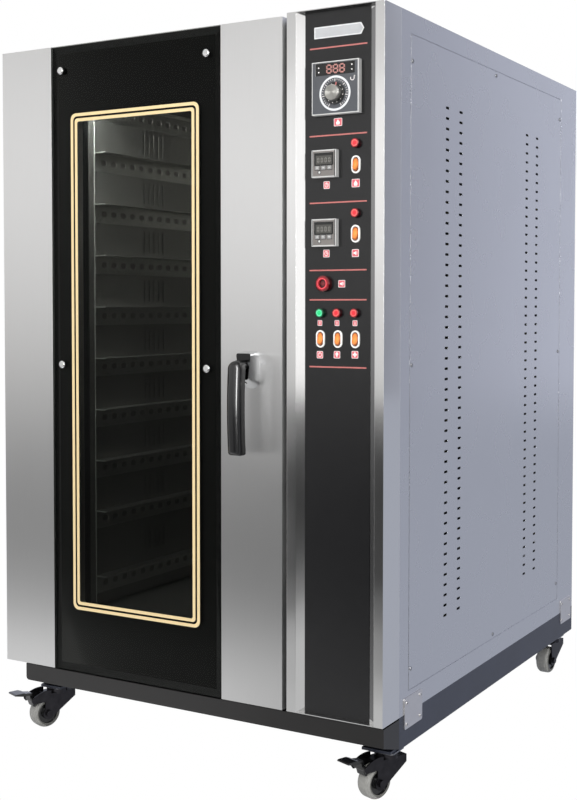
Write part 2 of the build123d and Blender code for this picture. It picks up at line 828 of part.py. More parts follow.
def element_tail_places():
    """Where the ends of each heating ring leave the cavity through its back."""
    places = []
    for index in range(len(element_places)):
        for side in (-1, 1):
            angle = math.radians(-90 + side * element_gap_angle * (0.5 + 0.5 * index))
            places.append((index, centre_x + element_ring_radius * math.cos(angle),
                           fan_z + element_ring_radius * math.sin(angle)))
    return places


def motor_stud_places():
    return [(centre_x + sx * motor_stud_place, fan_z + sz * motor_stud_place)
            for sx in (-1, 1) for sz in (-1, 1)]


def back_passages(radius_gap):
    """Round holes through the liner's back for the shaft, studs, elements and steam pipe."""
    start = liner_back - 5
    length = insulation_thickness + 20
    holes = rod((centre_x, start, fan_z), (0, 1, 0), shaft_opening, length)
    for x, z in motor_stud_places():
        holes += rod((x, start, z), (0, 1, 0), motor_stud_radius + radius_gap, length)
    for index, x, z in element_tail_places():
        holes += rod((x, start, z), (0, 1, 0), element_radius + radius_gap, length)
    return holes + rod((centre_x, start, steam_z), (0, 1, 0), steam_pipe_radius + radius_gap, length)


def cavity_liner():
    sheet = liner_sheet
    box = block(cavity_left - sheet, cavity_right + sheet, face_y, liner_back + sheet,
                cavity_z0 - sheet, cavity_z1 + sheet)
    flange = block(left_x + frame_sheet + fit_gap, column_left - frame_sheet - fit_gap, face_y,
                   face_y + sheet, body_z + frame_sheet + fit_gap, roof_z - frame_sheet - fit_gap)
    liner = box + flange
    liner -= block(cavity_left, cavity_right, face_y - 1, liner_back, cavity_z0, cavity_z1)
    liner -= rod((centre_x, lamp_y, cavity_z1 - 1), (0, 0, 1), lamp_body_radius + fit_gap, sheet + 2)
    return liner - back_passages(fit_gap)


def insulation():
    sheet = liner_sheet
    wide = sheet + insulation_thickness
    jacket = block(cavity_left - wide, cavity_right + wide, face_y + sheet, jacket_back,
                   cavity_z0 - wide, cavity_z1 + wide)
    jacket -= block(cavity_left - sheet, cavity_right + sheet, face_y, liner_back + sheet,
                    cavity_z0 - sheet, cavity_z1 + sheet)
    jacket -= rod((centre_x, lamp_y, cavity_z1), (0, 0, 1), lamp_body_radius + fit_gap, wide + 2)
    return jacket - back_passages(fit_gap)


def door_seal():
    """A soft ring on the cavity's front flange; the closed door stops just short of it."""
    margin = seal_margin
    wide = seal_margin + seal_width
    front = door_back + fit_gap
    ring = block(cavity_left - wide, cavity_right + wide, front, face_y, cavity_z0 - wide, cavity_z1 + wide)
    ring = fillet(ring.edges().filter_by(Axis.Y), 20)
    hole = block(cavity_left - margin, cavity_right + margin, front - 1, face_y + 1, cavity_z0 - margin,
                 cavity_z1 + margin)
    ring -= fillet(hole.edges().filter_by(Axis.Y), 6)
    return chamfer(ring.edges().group_by(Axis.Y)[0], 1.5)


all_rails = [rail_lowest] + rail_top_heights


def duct_panel(side):
    """An upright panel that closes the air duct beside the trays, with groups of upright slots."""
    y0 = front_y + duct_start
    y1 = front_y + baffle_place
    middle_y = (y0 + y1) / 2
    middle_z = (cavity_z0 + cavity_z1) / 2
    holes = []
    for low, high in zip(all_rails[:-1], all_rails[1:]):
        for place in duct_slot_places:
            for step in range(duct_slot_count):
                across = place - middle_y + front_y + step * duct_slot_pitch
                up = body_z + (low + high - rail_web) / 2 - middle_z
                slot = Pos(across, up) * Rot(0, 0, 90) * SlotOverall(duct_slot_length, duct_slot_width)
                holes.append(outline(slot))
    inner = centre_x + side * duct_half_width
    x = inner if side > 0 else inner - liner_sheet
    plate = pierced_plate(side_plane(x, middle_y, middle_z), y1 - y0, cavity_z1 - cavity_z0,
                          liner_sheet, holes)
    wall = centre_x + side * cavity_half_width
    flange = block(min(x, wall), max(x, wall), y0, y0 + liner_sheet, cavity_z0, cavity_z1)
    return plate + flange


def tray_rail(side, top):
    """An angle rail on a duct panel: a flange for the tray and a web with a row of holes."""
    y0 = front_y + rail_start
    inner = centre_x + side * duct_half_width
    z = body_z + top
    tip = inner - side * rail_flange
    rail = block(min(inner, tip), max(inner, tip), y0, y0 + rail_length, z - rail_sheet, z)
    count = int((rail_length - rail_hole_length) // rail_hole_pitch)
    holes = []
    for step in range(count):
        across = (step - (count - 1) / 2) * rail_hole_pitch
        holes.append(outline(Pos(across, 0) * SlotOverall(rail_hole_length, rail_hole_width)))
    x = inner if side < 0 else inner - rail_sheet
    web = pierced_plate(side_plane(x, y0 + rail_length / 2, z - rail_web / 2), rail_length, rail_web,
                        rail_sheet, holes)
    return rail + web


def fan_baffle():
    """The upright plate before the fan, with rings of round intake holes."""
    half = duct_half_width + liner_sheet
    middle_z = (cavity_z0 + cavity_z1) / 2
    holes = [outline(Pos(0, fan_z - middle_z) * Circle(baffle_hole_radius))]
    for ring in range(1, baffle_rings + 1):
        for step in range(6 * ring):
            angle = 2 * math.pi * step / (6 * ring)
            away = ring * baffle_ring_step
            spot = Pos(away * math.cos(angle), fan_z - middle_z + away * math.sin(angle))
            holes.append(outline(spot * Circle(baffle_hole_radius)))
    place = front_plane(centre_x, front_y + baffle_place, middle_z)
    return pierced_plate(place, 2 * half, cavity_z1 - cavity_z0, baffle_sheet, holes)


def fan_impeller():
    y0 = front_y + fan_front
    y1 = y0 + fan_width
    disc = rod((centre_x, y1 - blade_sheet, fan_z), (0, 1, 0), fan_radius, blade_sheet)
    ring = rod((centre_x, y0, fan_z), (0, 1, 0), fan_radius, blade_sheet)
    ring -= rod((centre_x, y0 - 1, fan_z), (0, 1, 0), fan_radius - 40, blade_sheet + 2)
    wheel = disc + ring + rod((centre_x, y1 - 40, fan_z), (0, 1, 0), hub_radius, 40)
    for step in range(blade_count):
        blade = block(blade_inner, fan_radius - 2, y0, y1, -blade_sheet / 2, blade_sheet / 2)
        wheel += Pos(centre_x, 0, fan_z) * Rot(0, 360 / blade_count * step, 0) * blade
    wheel -= rod((centre_x, y0 - 1, fan_z), (0, 1, 0), shaft_radius, fan_width + 2)
    shaft_end = jacket_back + motor_plate + motor_bearing
    shaft = rod((centre_x, y1 - 44, fan_z), (0, 1, 0), shaft_radius, shaft_end - y1 + 44)
    return [wheel, shaft]


def fan_motor():
    y0 = jacket_back
    half = motor_plate_half
    plate = block(centre_x - half, centre_x + half, y0, y0 + motor_plate, fan_z - half, fan_z + half)
    plate = fillet(plate.edges().filter_by(Axis.Y), 15)
    body = rod((centre_x, y0 + motor_plate, fan_z), (0, 1, 0), motor_radius, motor_length)
    body = fillet(body.edges().filter_by(GeomType.CIRCLE).sort_by(Axis.Y)[-1], 10)
    motor = plate + body
    for x, z in motor_stud_places():
        start = liner_back + liner_sheet
        motor += rod((x, start, z), (0, 1, 0), motor_stud_radius, y0 - start + motor_plate + 8)
    bore = rod((centre_x, y0 - 1, fan_z), (0, 1, 0), shaft_radius + running_gap,
               motor_plate + motor_bearing + 2)
    return motor - bore


def heating_elements():
    """Open rings of round heating tube about the fan, their ends turned back through the liner."""
    pieces = []
    for index, place in enumerate(element_places):
        y = front_y + place
        half_gap = element_gap_angle * (0.5 + 0.5 * index)
        frame = Plane(origin=(centre_x, y, fan_z), x_dir=(1, 0, 0), z_dir=(0, -1, 0))
        arc = CenterArc((0, 0), element_ring_radius, -90 + half_gap, 360 - 2 * half_gap)
        start = arc @ 0
        profile = Plane(origin=start, z_dir=arc % 0) * Circle(element_radius)
        tube = frame * sweep(profile, path=arc)
        for other, x, z in element_tail_places():
            if other != index:
                continue
            tail = rod((x, y, z), (0, 1, 0), element_radius, liner_back + element_tail - y)
            tube += tail
            tube += Pos(x, y, z) * Sphere(element_radius)
        pieces.append(tube)
    return pieces


def steam_pipe():
    start = front_y + steam_pipe_front
    end = front_y + steam_pipe_back
    pipe = rod((centre_x, start, steam_z), (0, 1, 0), steam_pipe_radius, end - start)
    pipe -= rod((centre_x, start - 1, steam_z), (0, 1, 0), steam_pipe_radius - 1.5, end - start + 2)
    valve = block(centre_x - 18, centre_x + 18, end - 30, end + 10, steam_z - 18, steam_z + 18)
    valve -= rod((centre_x, end - 31, steam_z), (0, 1, 0), steam_pipe_radius, 31)
    return pipe + valve


def cavity_lamp():
    """A lamp in the roof of the cavity: a glass dome under a flange, and a holder in the insulation."""
    dome = Sphere(lamp_dome_radius)
    dome &= block(-lamp_dome_radius, lamp_dome_radius, -lamp_dome_radius, lamp_dome_radius,
                  -lamp_dome_radius, -lamp_dome_radius + lamp_dome_drop)
    lift = cavity_z1 - lamp_flange + lamp_dome_radius - lamp_dome_drop
    dome = Pos(centre_x, lamp_y, lift) * dome
    flange = rod((centre_x, lamp_y, cavity_z1 - lamp_flange), (0, 0, 1), lamp_flange_radius, lamp_flange)
    body = rod((centre_x, lamp_y, cavity_z1), (0, 0, 1), lamp_body_radius, lamp_body_height)
    return dome + flange + body


# Door
def door_pan():
    """The hollow steel body of the door, open in the middle of its front and pierced for the window."""
    sheet = pan_sheet
    y0 = front_y + glass_thickness
    z0 = body_z
    z1 = body_z + door_height
    pan = block(pan_left, pan_right, y0, door_back, z0, z1)
    pan -= block(pan_left + sheet, pan_right - sheet, y0 + sheet, door_back - sheet, z0 + sheet, z1 - sheet)
    pan -= block(glass_left + glass_lap, glass_right - glass_lap, y0 - 1, y0 + sheet + 1,
                 z0 + glass_lap, z1 - glass_lap)
    margin = inner_opening_margin
    pan -= block(centre_x - window_half_width - margin, centre_x + window_half_width + margin,
                 door_back - sheet - 1, door_back + 1, body_z + window_bottom - margin,
                 body_z + window_top + margin)
    pan -= rod((spindle_x, y0 - 1, spindle_z), (0, 1, 0), spindle_radius + 1, 5)
    return pan - tongue_slot(door_right)


def tongue_slot(wall_x):
    """Room in an upright wall for the tongue, level and on its way down."""
    tongue_y = front_y + tongue_depth
    margin = tongue_slot_margin
    return block(wall_x - 5, wall_x + 5, tongue_y - margin, tongue_y + tongue_thickness + margin,
                 spindle_z - tongue_swing - margin, spindle_z + tongue_height / 2 + tongue_room)


def door_strip(side):
    """A folded bright strip along one edge of the door, hemmed where it meets the glass."""
    back = door_back - 2
    if side < 0:
        path = [(door_left, back), (door_left, front_y), (glass_left, front_y),
                (glass_left, front_y + glass_thickness)]
    else:
        path = [(glass_right, front_y + glass_thickness), (glass_right, front_y), (door_right, front_y),
                (door_right, back)]
    strip = folded_sheet(path, strip_sheet, body_z, body_z + door_height)
    if side > 0:
        strip -= tongue_slot(door_right)
        strip -= rod((spindle_x, front_y - 1, spindle_z), (0, 1, 0), spindle_radius + 1, 4)
    return strip


def glass_screw_places():
    return [(x, body_z + height) for height in glass_screw_heights
            for x in (glass_left + glass_screw_left, glass_right - glass_screw_right)]


def door_glass():
    pane = block(glass_left + fit_gap, glass_right - fit_gap, front_y, front_y + glass_thickness,
                 body_z, body_z + door_height)
    for x, z in glass_screw_places():
        pane -= rod((x, front_y - 1, z), (0, 1, 0), glass_screw_radius, glass_thickness + 2)
    return pane


def inner_glass():
    wide = window_half_width + inner_opening_margin + inner_glass_lap
    lap = inner_opening_margin + inner_glass_lap
    back = door_back - pan_sheet
    return block(centre_x - wide, centre_x + wide, back - inner_glass_thickness, back,
                 body_z + window_bottom - lap, body_z + window_top + lap)


def glass_screws():
    pieces = []
    for x, z in glass_screw_places():
        head = rod((x, front_y, z), (0, -1, 0), glass_screw_head_radius, glass_screw_head)
        head = fillet(head.edges().filter_by(GeomType.CIRCLE).sort_by(Axis.Y)[0], glass_screw_head - 0.4)
        pieces.append(head + rod((x, front_y, z), (0, 1, 0), glass_screw_radius, 14))
    return pieces


def cabinet_hinge_leaf(height):
    """The fixed half of a lift off hinge: a leaf on the side of the cabinet, with the pin."""
    z0 = body_z + height - hinge_length / 2
    z_mid = body_z + height
    leaf_y = pin_y + 5
    leaf = block(left_x - hinge_leaf, left_x, leaf_y, leaf_y + hinge_leaf_depth, z0, z0 + hinge_length)
    leaf += block(pin_x, left_x, leaf_y, leaf_y + hinge_leaf, z0, z_mid)
    leaf += rod((pin_x, pin_y, z0), (0, 0, 1), hinge_barrel_radius, hinge_length / 2)
    return leaf + rod((pin_x, pin_y, z_mid), (0, 0, 1), hinge_pin_radius, hinge_length / 2 - 4)


def door_hinge_leaf(height):
    """The moving half: a leaf on the back of the door, with a barrel that drops over the pin."""
    z_mid = body_z + height + 0.2
    z1 = body_z + height + hinge_length / 2
    leaf = block(door_left + 5, pin_x + 6, door_back, door_back + hinge_leaf, z_mid, z1)
    leaf += rod((pin_x, pin_y, z_mid), (0, 0, 1), hinge_barrel_radius, z1 - z_mid)
    return leaf - rod((pin_x, pin_y, z_mid - 1), (0, 0, 1), hinge_pin_radius + running_gap,
                      z1 - z_mid - 3)


def shield(y, widths, heights, rounds):
    """An outline parallel to the door: its widths, heights and corner rounds, each below and above."""
    (low_half, high_half), (low, high) = [width / 2 for width in widths], heights
    face = make_face(Polyline((-low_half, low), (low_half, low), (high_half, high), (-high_half, high),
                              close=True))
    face = fillet(face.vertices().group_by(Axis.Y)[0], rounds[0])
    face = fillet(face.vertices().group_by(Axis.Y)[-1], rounds[1])
    return front_plane(spindle_x, y, body_z) * face


def handle_base():
    """A chrome block that the spindle runs through: its front narrows downwards, over a sloping foot."""
    front = front_y - handle_base_depth
    back_face = shield(front_y, (handle_base_width, handle_base_width),
                       (handle_base_bottom, handle_base_top), (handle_base_round, handle_base_corner))
    front_face = shield(front, (handle_face_bottom_width, handle_face_top_width),
                        (handle_face_bottom, handle_face_top), (handle_face_corner, handle_face_corner))
    base = loft([back_face.face(), front_face.face()], ruled=True)
    base -= rod((spindle_x, front - 1, spindle_z - handle_screw_drop), (0, 1, 0), handle_screw_radius,
                handle_base_depth / 2)
    return base - rod((spindle_x, front - 1, spindle_z), (0, 1, 0), spindle_radius + running_gap,
                      handle_base_depth + 2)


def handle_lever():
    """The black grip that hangs from its neck: bowed front and back, a round top, and soft edges."""
    front = front_y - handle_reach
    back = front + grip_thickness
    top = body_z + grip_top
    bottom = body_z + grip_bottom
    middle = (top + bottom) / 2
    bow = grip_bow
    face = ThreePointArc((back + bow, bottom), (back, middle), (back + bow, top))
    edge = ThreePointArc((front + bow, top), (front, middle), (front + bow, bottom))
    profile = face + Line((back + bow, top), (front + bow, top)) + edge
    profile += Line((front + bow, bottom), (back + bow, bottom))
    half = grip_width / 2
    bowed = side_plane(spindle_x - half, 0, 0) * extrude(make_face(profile), grip_width)
    shape = Pos(0, (bottom + top - half) / 2) * Rectangle(grip_width, top - half - bottom)
    shape = fillet(shape.vertices().group_by(Axis.Y)[0], grip_corner)
    shape += Pos(0, top - half) * Circle(half)
    upright = front_plane(spindle_x, front - 1, 0) * extrude(shape, grip_thickness + grip_bow + 2)
    grip = bowed & upright
    grip = fillet(grip.edges().group_by(Axis.Y)[0] + grip.edges().filter_by(lambda edge: edge.center().Y <
                                                                            front + grip_thickness / 2),
                  grip_edge)
    neck_start = front_y - handle_base_depth - fit_gap
    neck = rod((spindle_x, neck_start, spindle_z), (0, -1, 0), neck_radius, neck_start - back - 4)
    neck += rod((spindle_x, back + bow + 2, spindle_z), (0, -1, 0), neck_radius, 8)
    lever = grip + neck
    return lever - rod((spindle_x, neck_start + 1, spindle_z), (0, -1, 0), spindle_radius, 21)


def latch_tongue():
    """The spindle through the door, with the tongue that it swings in the door's edge."""
    tongue_y = front_y + tongue_depth
    start = front_y - handle_base_depth - fit_gap - 19
    spindle = rod((spindle_x, start, spindle_z), (0, 1, 0), spindle_radius, tongue_y - start + 8)
    boss = rod((spindle_x, tongue_y - 4, spindle_z), (0, 1, 0), tongue_height / 2, tongue_thickness + 8)
    tongue = block(spindle_x, spindle_x + tongue_length, tongue_y, tongue_y + tongue_thickness,
                   spindle_z - tongue_height / 2, spindle_z + tongue_height / 2)
    tip = tongue.edges().filter_by(Axis.Y).group_by(Axis.X)[-1]
    return spindle + boss + fillet(tip, tongue_tip_round)


# Casters
def caster_place(x, y, turn):
    """Where a caster stands, and how far it has swivelled from trailing straight forwards."""
    return Pos(x, y, 0) * Rot(0, 0, -turn)


caster_places = {
    "front_left": (left_x + caster_inset_x, front_y + caster_inset_front, caster_turn_front),
    "front_right": (right_x - caster_inset_x, front_y + caster_inset_front, caster_turn_front),
    "rear_left": (left_x + caster_inset_x, rear_y - caster_inset_rear, caster_turn_rear),
    "rear_right": (right_x - caster_inset_x, rear_y - caster_inset_rear, caster_turn_rear),
}
race_top = caster_height - caster_plate_sheet - fit_gap
crown_top = crown_bottom + crown_sheet


def caster_plate():
    """The fixed top plate with the kingpin that the fork swivels on."""
    half = caster_plate_size / 2
    plate = block(-half, half, -half, half, caster_height - caster_plate_sheet, caster_height)
    plate = fillet(plate.edges().filter_by(Axis.Z), 6)
    head_top = crown_bottom - fit_gap
    pin = rod((0, 0, head_top), (0, 0, 1), kingpin_radius, caster_height - caster_plate_sheet - head_top)
    head = rod((0, 0, head_top - kingpin_head), (0, 0, 1), kingpin_radius + 3, kingpin_head)
    return plate + pin + head


def fork_leg(braked):
    """The side shape of a fork leg: a round lug at the axle, and on a braked one an arm with a cheek."""
    trail = caster_trail
    rear_edge = -trail - leg_behind_axle
    lug_top = wheel_radius + math.sqrt(axle_lug_radius ** 2 - leg_behind_axle ** 2)
    slope_foot = -trail + axle_lug_radius * math.cos(math.radians(40))
    slope_low = wheel_radius - axle_lug_radius * math.sin(math.radians(40))
    lug_bottom = (-trail, wheel_radius - axle_lug_radius)
    outline_points = [(crown_back, crown_top), (crown_back, crown_top - 14), (slope_foot, slope_low)]
    leg = Polyline(*outline_points)
    leg += ThreePointArc((slope_foot, slope_low), lug_bottom, (-trail - axle_lug_radius, wheel_radius))
    leg += Line((-trail - axle_lug_radius, wheel_radius), (rear_edge, lug_top))
    if not braked:
        leg += Polyline((rear_edge, lug_top), (rear_edge, crown_top), (crown_back, crown_top))
        return make_face(leg)
    tip = -pedal_pivot_y - pivot_lug_radius
    middle = (-(cheek_start + pedal_pivot_y) / 2 - 4, (cheek_top + pedal_pivot_z + pivot_lug_radius) / 2 + 3)
    leg += Polyline((rear_edge, lug_top), (rear_edge, leg_arch_z), (tip + 4, leg_arch_z),
                    (tip, pedal_pivot_z - 2), (tip, pedal_pivot_z + 2))
    leg += ThreePointArc((tip, pedal_pivot_z + 2), middle, (-cheek_start, cheek_top))
    leg += Polyline((-cheek_start, cheek_top), (-cheek_start, crown_top), (crown_back, crown_top))
    return make_face(leg)


def caster_fork(braked):
    """A swivelling fork: raceway, crown and two legs that trail to the axle, with its axle bolt."""
    inner = hub_half_width + fit_gap
    outer = inner + leg_sheet
    trail = caster_trail
    race = rod((0, 0, crown_top), (0, 0, 1), raceway_radius, race_top - crown_top)
    race = fillet(race.edges().filter_by(GeomType.CIRCLE).group_by(Axis.Z)[-1], 2)
    crown = block(-outer, outer, -trail - leg_behind_axle, crown_back, crown_bottom, crown_top)
    crown += rod((0, 0, crown_bottom), (0, 0, 1), raceway_radius, crown_sheet)
    web = fork_leg(braked)
    fork = race + crown
    for x in (-outer, inner):
        fork += side_plane(x, 0, 0) * extrude(web, leg_sheet)
    fork -= rod((0, 0, crown_bottom - 1), (0, 0, 1), kingpin_radius + running_gap,
                race_top - crown_bottom + 2)
    fork -= rod((-outer - 1, -trail, wheel_radius), (1, 0, 0), axle_radius, 2 * outer + 2)
    if braked:
        fork -= rod((-outer - 1, -pedal_pivot_y, pedal_pivot_z), (1, 0, 0), pedal_pin_radius, 2 * outer + 2)
    axle = rod((-outer - 2, -trail, wheel_radius), (1, 0, 0), axle_radius, 2 * outer + 4)
    for start, way in ((-outer, -1), (outer, 1)):
        axle += rod((start, -trail, wheel_radius), (way, 0, 0), axle_head_radius, axle_head)
    pieces = [fork, axle]
    if braked:
        pieces.append(rod((-outer, -pedal_pivot_y, pedal_pivot_z), (1, 0, 0), pedal_pin_radius, 2 * outer))
    return pieces


def caster_wheel():
    """A rounded tyre on a hub with dished sides."""
    half = wheel_half_width
    profile = Polyline((0, -hub_half_width), (hub_outer_radius, -hub_half_width),
                       (hub_outer_radius, rim_recess - half), (rim_radius, rim_recess - half),
                       (rim_radius, -half), (wheel_radius, -half), (wheel_radius, half),
                       (rim_radius, half), (rim_radius, half - rim_recess),
                       (hub_outer_radius, half - rim_recess), (hub_outer_radius, hub_half_width),
                       (0, hub_half_width), close=True)
    wheel = revolve(make_face(profile), Axis.Y, 360)
    tread = wheel.edges().filter_by(GeomType.CIRCLE)
    tread = tread.filter_by(lambda edge: abs(edge.radius - wheel_radius) < 0.01)
    wheel = fillet(tread, tread_round)
    wheel -= Rot(90, 0, 0) * Cylinder(axle_radius + running_gap, 4 * half)
    return Pos(0, -caster_trail, wheel_radius) * Rot(0, 0, 90) * wheel


def brake_pedal():
    """A foot pedal on a cross pin, with a bent arm up to its pad and a shoe down towards the tyre."""
    y = -pedal_pivot_y
    z = pedal_pivot_z
    half = pedal_width / 2
    thick = pedal_pad_thickness
    pad_back = -pedal_reach + pedal_pad_length
    pad = Polyline((-pedal_reach, pedal_top - 1), (-pedal_reach + 3, pedal_top), (pad_back - 8, pedal_top),
                   (pad_back, pedal_top - 3), (pad_back, pedal_top - thick),
                   (pad_back - 10, pedal_top - thick), (-pedal_reach, pedal_top - 3), close=True)
    arm = Polyline((y - 3, z - 3), (y + 3, z + 3), (y - 1, pedal_top - 5), (pad_back - 6, pedal_top - 2),
                   (pad_back - 6, pedal_top - 6), (y - 6, pedal_top - 10), close=True)
    angle = math.radians(shoe_angle)
    shoe_y = y + shoe_reach * math.cos(angle)
    shoe_z = z - shoe_reach * math.sin(angle)
    across = shoe_radius * math.sin(angle)
    along = shoe_radius * math.cos(angle)
    finger = Polyline((y - across, z - along), (y + across, z + along), (shoe_y + across, shoe_z + along),
                      (shoe_y - across, shoe_z - along), close=True)
    pedal = rod((-half, y, z), (1, 0, 0), pedal_boss_radius, pedal_width)
    pedal += side_plane(-half, 0, 0) * extrude(make_face(pad), pedal_width)
    pedal += side_plane(-pedal_arm_width / 2, 0, 0) * extrude(make_face(arm), pedal_arm_width)
    pedal += side_plane(-shoe_width / 2, 0, 0) * extrude(make_face(finger), shoe_width)
    pedal += rod((-shoe_width / 2, shoe_y, shoe_z), (1, 0, 0), shoe_radius, shoe_width)
    return pedal - rod((-half - 1, y, z), (1, 0, 0), pedal_pin_radius + running_gap, pedal_width + 2)


def build():
    os.makedirs("parts", exist_ok=True)
    save("cabinet_frame", cabinet_frame())
    save("right_side_panel", side_panel(right_x, 1))
    save("left_side_panel", side_panel(left_x, -1))
    save("back_panel", back_panel())
    save("roof_panel", roof_panel())
    save("base_frame", base_frame())
    save("front_base_beam", front_beam())
    save("corner_plates", *corner_plates())
    save("column_shell", column_shell())
    save("fascia_panel", fascia_panel())
    save("instrument_bodies", *instrument_bodies())
    for label, height in zip(("upper", "lower"), timer_heights):
        for index, offset in enumerate(key_offsets):
            save(f"{label}_timer_key_{index + 1}", timer_key(height, offset))
    save("temperature_knob", temperature_knob())
    save("rocker_bezels", *[rocker_bezel(place) for place in rocker_places])
    for name, place in zip(rocker_names, rocker_places):
        save(name, rocker(place))
    save("indicator_lamps", *[indicator_lamp(place) for place in lamp_places])
    save("buzzer", buzzer())
    save("control_gear", *control_gear())
    save("cable_gland", cable_gland())
    save("cavity_liner", cavity_liner())
    save("insulation", insulation())
    save("door_seal", door_seal())
    save("duct_panels", duct_panel(-1), duct_panel(1))
    save("tray_rails", *[tray_rail(side, top) for side in (-1, 1) for top in all_rails])
    save("fan_baffle", fan_baffle())
    save("fan_impeller", *fan_impeller())
    save("fan_motor", fan_motor())
    save("heating_elements", *heating_elements())
    save("steam_pipe", steam_pipe())
    save("cavity_lamp", cavity_lamp())
    save("door_pan", door_pan())
    save("door_strips", door_strip(-1), door_strip(1))
    save("door_glass", door_glass())
    save("inner_glass", inner_glass())
    save("glass_screws", *glass_screws())
    save("cabinet_hinge_leaves", *[cabinet_hinge_leaf(height) for height in hinge_heights])
    save("door_hinge_leaves", *[door_hinge_leaf(height) for height in hinge_heights])
    save("handle_base", handle_base())
    save("handle_lever", handle_lever())
    save("latch_tongue", latch_tongue())
    plates = []
    for name, (x, y, turn) in caster_places.items():
        place = caster_place(x, y, turn)
        braked = name.startswith("front")
        plates.append(Pos(x, y, 0) * caster_plate())
        save(f"{name}_caster_fork", *[place * piece for piece in caster_fork(braked)])
        save(f"{name}_wheel", place * caster_wheel())
        if braked:
            save(f"{name}_brake_pedal", place * brake_pedal())
    save("caster_plates", *plates)


build()
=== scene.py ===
"""Dresses the convection oven: its materials, its printed front, its screws, light and camera."""
import math

import bmesh
import bpy
from mathutils import Matrix, Vector

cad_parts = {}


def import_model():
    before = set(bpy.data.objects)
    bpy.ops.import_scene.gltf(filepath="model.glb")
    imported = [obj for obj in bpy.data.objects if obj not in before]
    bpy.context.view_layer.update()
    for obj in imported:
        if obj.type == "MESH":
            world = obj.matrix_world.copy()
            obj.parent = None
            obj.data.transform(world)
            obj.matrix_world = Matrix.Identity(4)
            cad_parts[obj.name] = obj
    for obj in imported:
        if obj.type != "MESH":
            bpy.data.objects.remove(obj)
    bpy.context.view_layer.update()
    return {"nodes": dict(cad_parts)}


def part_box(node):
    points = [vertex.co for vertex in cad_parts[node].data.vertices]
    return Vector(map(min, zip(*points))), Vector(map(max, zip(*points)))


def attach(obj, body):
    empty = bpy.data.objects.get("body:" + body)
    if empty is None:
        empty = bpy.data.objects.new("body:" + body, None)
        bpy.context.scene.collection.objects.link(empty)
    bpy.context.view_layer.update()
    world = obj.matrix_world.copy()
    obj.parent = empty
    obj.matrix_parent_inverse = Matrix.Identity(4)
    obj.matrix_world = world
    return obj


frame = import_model()
nodes = frame["nodes"]


# Base frame and front beam.
# The base is a ring of square tubes in slate grey powder coat, which has a fine orange peel.
# A folded beam in satin black closes it in front, under the door.
MM = 0.001


def srgb(text):
    """A hex colour as linear red, green, blue and alpha."""
    values = [int(text[i:i + 2], 16) / 255 for i in (0, 2, 4)]
    linear = [v / 12.92 if v <= 0.04045 else ((v + 0.055) / 1.055) ** 2.4 for v in values]
    return (*linear, 1.0)


def add(material, kind, inputs=None, **settings):
    """Adds a node, sets its settings, and sets or links its inputs. A node links from its first output."""
    tree = material.node_tree
    made = tree.nodes.new(kind)
    for name, value in settings.items():
        setattr(made, name, value)
    for key, value in (inputs or {}).items():
        if isinstance(value, bpy.types.Node):
            value = value.outputs[0]
        if isinstance(value, bpy.types.NodeSocket):
            tree.links.new(value, made.inputs[key])
        else:
            made.inputs[key].default_value = value
    return made


def new_material(name):
    """A material with an empty node tree."""
    material = bpy.data.materials.new(name)
    material.use_nodes = True
    material.node_tree.nodes.clear()
    return material


def grain(material, size, detail=3.0, stretch=(1.0, 1.0, 1.0)):
    """Noise with features of about the given size in metres, drawn out along one axis if asked."""
    place = add(material, "ShaderNodeTexCoord").outputs["Object"]
    scale = tuple(1.0 / (size * s) for s in stretch)
    mapped = add(material, "ShaderNodeMapping", {"Vector": place, "Scale": scale})
    return add(material, "ShaderNodeTexNoise", {"Vector": mapped, "Scale": 1.0, "Detail": detail})


def paint(name, dark, light, roughness, peel=0.8 * MM):
    """Powder coat: an orange peel of fine bumps and a slight unevenness of colour."""
    m = new_material(name)
    fine = grain(m, peel)
    broad = grain(m, 60 * MM)
    colour = add(m, "ShaderNodeMix", {0: broad, 6: srgb(dark), 7: srgb(light)}, data_type="RGBA")
    dull = add(m, "ShaderNodeMapRange",
               {"Value": fine, "To Min": roughness - 0.05, "To Max": roughness + 0.08})
    rounded = add(m, "ShaderNodeBevel", {"Radius": 0.6 * MM}, samples=4)
    shader = add(m, "ShaderNodeBsdfPrincipled", {
        "Base Color": colour.outputs[2],
        "Roughness": dull,
        "Coat Weight": 0.15,
        "Coat Roughness": 0.25,
        "Normal": add(m, "ShaderNodeBump", {"Height": fine, "Distance": 0.03 * MM, "Normal": rounded}),
    })
    add(m, "ShaderNodeOutputMaterial", {"Surface": shader})
    return m


def dress(material, *names):
    """Gives CAD nodes one material each."""
    for name in names:
        data = nodes[name].data
        data.materials.clear()
        data.materials.append(material)


slate_paint = paint("slate_powder_coat", "1b1f2c", "242939", 0.42)
black_paint = paint("black_powder_coat", "0d0c0c", "141212", 0.42)
dress(slate_paint, "base_frame")
dress(black_paint, "front_base_beam")


# Casters.
# The forks are dark plated pressings under brighter top plates. The tyres are grey rubber with a
# paler worn tread on dark hubs, and the foot pedals of the front pair are moulded black plastic.
def plated(name, dark, light, roughness):
    """Zinc or plain steel: patches of dulling under a fine grain."""
    m = new_material(name)
    patches = grain(m, 14 * MM, 4.0)
    fine = grain(m, 0.7 * MM)
    colour = add(m, "ShaderNodeMix", {0: patches, 6: srgb(dark), 7: srgb(light)}, data_type="RGBA")
    dull = add(m, "ShaderNodeMapRange",
               {"Value": patches, "To Min": roughness - 0.08, "To Max": roughness + 0.12})
    rounded = add(m, "ShaderNodeBevel", {"Radius": 0.5 * MM}, samples=4)
    shader = add(m, "ShaderNodeBsdfPrincipled", {
        "Base Color": colour.outputs[2],
        "Metallic": 1.0,
        "Roughness": dull,
        "Normal": add(m, "ShaderNodeBump", {"Height": fine, "Distance": 0.01 * MM, "Normal": rounded}),
    })
    add(m, "ShaderNodeOutputMaterial", {"Surface": shader})
    return m


